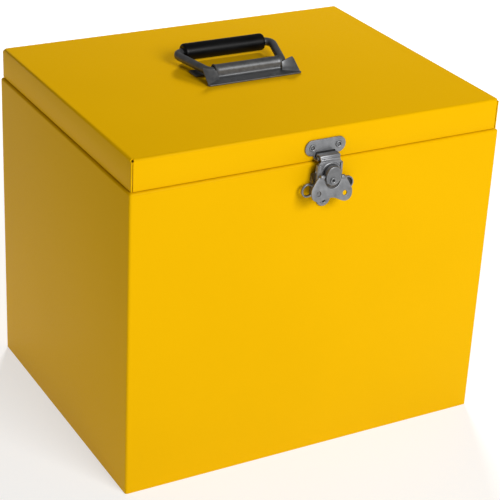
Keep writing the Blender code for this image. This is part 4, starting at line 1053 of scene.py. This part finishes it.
def wing_outline():
    right = list(WING_EDGE)
    notch = list(WING_NOTCH)
    outline = right + [(0.0, -19.6)] + [(-u, v) for u, v in reversed(right)]
    return mm(*outline, *[(-u, v) for u, v in reversed(notch)], (0.0, -11.0), *notch)


def make_wing():
    """The butterfly thumb-turn, with softly rounded edges and two padlock holes."""
    half = LATCH_SHEET / 2
    holes = [circle(side * WING_HOLE_X, -WING_HOLE_DROP, 2.4 * MM, 28) for side in (-1, 1)]
    wing = plate("wing", smooth_line(wing_outline(), 2), half, -half, "front", edge=0.45 * MM, holes=holes,
                 resolution=3)
    for side in (-1, 1):
        cut(wing, drill(WING_BORE, side * 6 * MM, side * 20 * MM, along_x(0, 0), 28))
    barrel = mm((1.08, 9.15), (1.7, 9.15), (2.0, 9.5), (2.0, 13.0), (1.7, 13.35), (1.08, 13.35))
    join(wing, *[lathe("barrel", [(radius, side * w) for radius, w in barrel], along_x(0, 0), 28, ring=True)
                 for side in (-1, 1)])
    hang = Matrix.Translation((0, FRONT - WING_PIN_DEPTH, WING_PIN_Z)) @ Matrix.Rotation(-WING_FLARE, 4, "X")
    transform(wing, hang)
    piece(drum_turned(wing), "butterfly_wing", "wing", "zinc_plated_steel", "latch_wing", smooth=45)
    axis = Vector((0, 0, DRUM.z))
    swing = Matrix.Translation(axis) @ Matrix.Rotation(OVER_CENTRE, 4, "Y") @ Matrix.Translation(-axis) @ hang
    centres = [swing @ Vector((side * WING_HOLE_X, 0, -WING_HOLE_DROP)) for side in (-1, 1)]
    # Painted shade on the walls of the wing's two padlock holes.
    refinish(wing, PAINTED_SHADE, lambda c: min((c - centre).length for centre in centres) < 2.62 * MM)


def make_link():
    """The strap: a rolled hook over two soft folds, a raised bead round the cap, and bent-back sides."""
    x = POST.x
    z = POST.z
    half = LINK_HALF
    foot = 318.4 * MM
    shoulder = 319.6 * MM
    neck = 321.0 * MM
    outline = arc(x, z, half, 180, 360, 28) + [(x + half, foot), (x + half - 0.5 * MM, shoulder)]
    outline += [(x + HOOK_HALF, neck), (x - HOOK_HALF, neck)]
    outline += [(x - half + 0.5 * MM, shoulder), (x - half, foot)]
    link = front_plate("link", outline, LINK_FRONT - LATCH_SHEET, LINK_FRONT, edge=0.4 * MM)
    line = mm((10.9, 319.2), (10.55, 320.6), (11.15, 321.9), (10.9, 323.2), (9.7, 324.0), (9.6, 325.3),
              (8.9, 326.5), (7.6, 326.8), (3.0, 326.8), (1.9, 326.3), (1.7, 325.2), (1.7, 323.4))
    path = smooth_line([(FRONT - out, level) for out, level in line], 2, closed=False)
    strip = folded_strip(path, -LATCH_SHEET)
    hook = plate("hook", strip, x - HOOK_HALF, x + HOOK_HALF, "side", edge=0.3 * MM)
    flanges = []
    for side in (-1, 1):
        outer = x + side * half
        line = [(outer - side * 2.2 * MM, FRONT - LINK_FRONT),
                (outer - side * 0.7 * MM, FRONT - LINK_FRONT + 0.2 * MM),
                (outer, FRONT - LINK_FRONT + 1.1 * MM), (outer + side * 0.05 * MM, FRONT - 8.3 * MM)]
        strip = folded_strip(smooth_line(line, 2, closed=False), -side * 1.3 * MM)
        flanges.append(plate("flange", strip, 298 * MM, foot, "flat", edge=0.25 * MM))
    centre = on_front(0, DRUM.z)
    bead = lathe("bead", mm((9.3, 10.6), (9.45, 11.3), (9.9, 11.75), (10.4, 11.85), (10.95, 11.7),
                            (11.5, 11.25), (11.8, 10.6)), centre, 56, ring=True)
    cut(bead, box("lower", (-20 * MM, FRONT - 20 * MM, 280 * MM), (20 * MM, FRONT, 303 * MM)))
    dimples = [lathe("dimple", mm((0, 10.7), (1.0, 10.7), (0.8, 11.15), (0, 11.25)),
                     on_front(side * 3.2 * MM + x, 318.6 * MM), 16) for side in (-1, 1)]
    join(link, hook, *flanges, bead, *dimples)
    recess = lathe("recess", mm((0, 10.3), (8.7, 10.3), (9.4, 11.3), (9.4, 14), (0, 14)), centre, 56)
    cut(link, recess, drill(6.9 * MM, 0, 20 * MM, on_front(x, z), 40))
    piece(link, "latch_strap", "link", "zinc_plated_steel", "latch_link", smooth=45)


# ---- Carried-over nodes --------------------------------------------------------------------------
def dress_kept_nodes():
    """Parts whose shape is right keep it, and get a better finish."""
    kept = {"insulation_board": [f"{side}_insulation" for side in
                                 ("floor", "front", "rear", "left", "right", "lid")],
            "galvanised_sheet": ["handle_backing_plate", "drum_washer"],
            "dull_stamped_steel": [f"handle_rivet_{number}" for number in range(1, 5)]}
    for slot, names in kept.items():
        for name in names:
            node = frame["nodes"][name]
            for place in node.material_slots:
                place.material = FINISHES[slot]


# ---- Camera, light and floor ---------------------------------------------------------------------
CAMERA_PLACE = Vector((-0.75564352, -1.34073421, 0.9162852))
CAMERA_RIGHT = Vector((0.87718881, -0.4779603, 0.04575737))
CAMERA_DOWN = Vector((-0.17697262, -0.41043325, -0.89455309))
CAMERA_AHEAD = Vector((0.44634121, 0.77659416, -0.44461335))


def make_camera():
    camera = bpy.data.cameras.new("camera")
    camera.sensor_width = 36.0
    camera.lens = 117.638
    camera.clip_start = 0.05
    camera.clip_end = 50.0
    obj = bpy.data.objects.new("camera", camera)
    bpy.context.scene.collection.objects.link(obj)
    axes = Matrix((CAMERA_RIGHT, -CAMERA_DOWN, -CAMERA_AHEAD)).transposed()
    obj.matrix_world = Matrix.Translation(CAMERA_PLACE) @ axes.to_4x4()
    bpy.context.scene.camera = obj


def soft_light(name, direction, distance, width, height, power):
    light = bpy.data.lights.new(name, "AREA")
    light.shape = "RECTANGLE"
    light.size = width
    light.size_y = height
    light.energy = power
    obj = bpy.data.objects.new(name, light)
    bpy.context.scene.collection.objects.link(obj)
    direction = Vector(direction).normalized()
    obj.location = Vector((0, 0, 0.2)) + direction * distance
    obj.rotation_mode = "QUATERNION"
    obj.rotation_quaternion = direction.to_track_quat("Z", "Y")
    return obj


def make_studio():
    world = bpy.data.worlds.new("studio")
    world.use_nodes = True
    background = world.node_tree.nodes["Background"]
    background.inputs["Color"].default_value = (1.0, 0.99, 0.97, 1.0)
    background.inputs["Strength"].default_value = 0.17
    bpy.context.scene.world = world
    bpy.context.scene.view_settings.view_transform = "Standard"
    bpy.context.scene.view_settings.look = "None"
    soft_light("key", (0.15, -0.85, 0.52), 2.6, 1.1, 0.9, 52)
    rear = soft_light("rear", (0.42, 0.80, 0.42), 2.4, 0.45, 0.3, 56)
    rear.visible_glossy = False
    bm = bmesh.new()
    bmesh.ops.create_grid(bm, x_segments=4, y_segments=4, size=8.0)
    floor = from_bmesh("floor", bm)
    floor.location.z = -0.0002
    m = Nodes("studio_floor")
    cloud = m.noise(3.0, 2.0)
    tone = m.mix(m.spread(cloud, 0.3, 0.7, 0.0, 1.0), (0.44, 0.44, 0.44), (0.46, 0.46, 0.46))
    m.finish(Base_Color=tone, Roughness=0.8, Specular_IOR_Level=0.1, Emission_Color=(1.0, 1.0, 1.0, 1.0),
             Emission_Strength=0.60)
    floor.data.materials.append(m.material)


make_camera()
make_studio()
make_body()
make_lid_cover()
make_lid_liner()
make_lid_seal()
make_hinge()
make_handle_base()
make_bail()
make_keeper()
make_base()
make_drum()
make_wing()
make_link()
dress_kept_nodes()
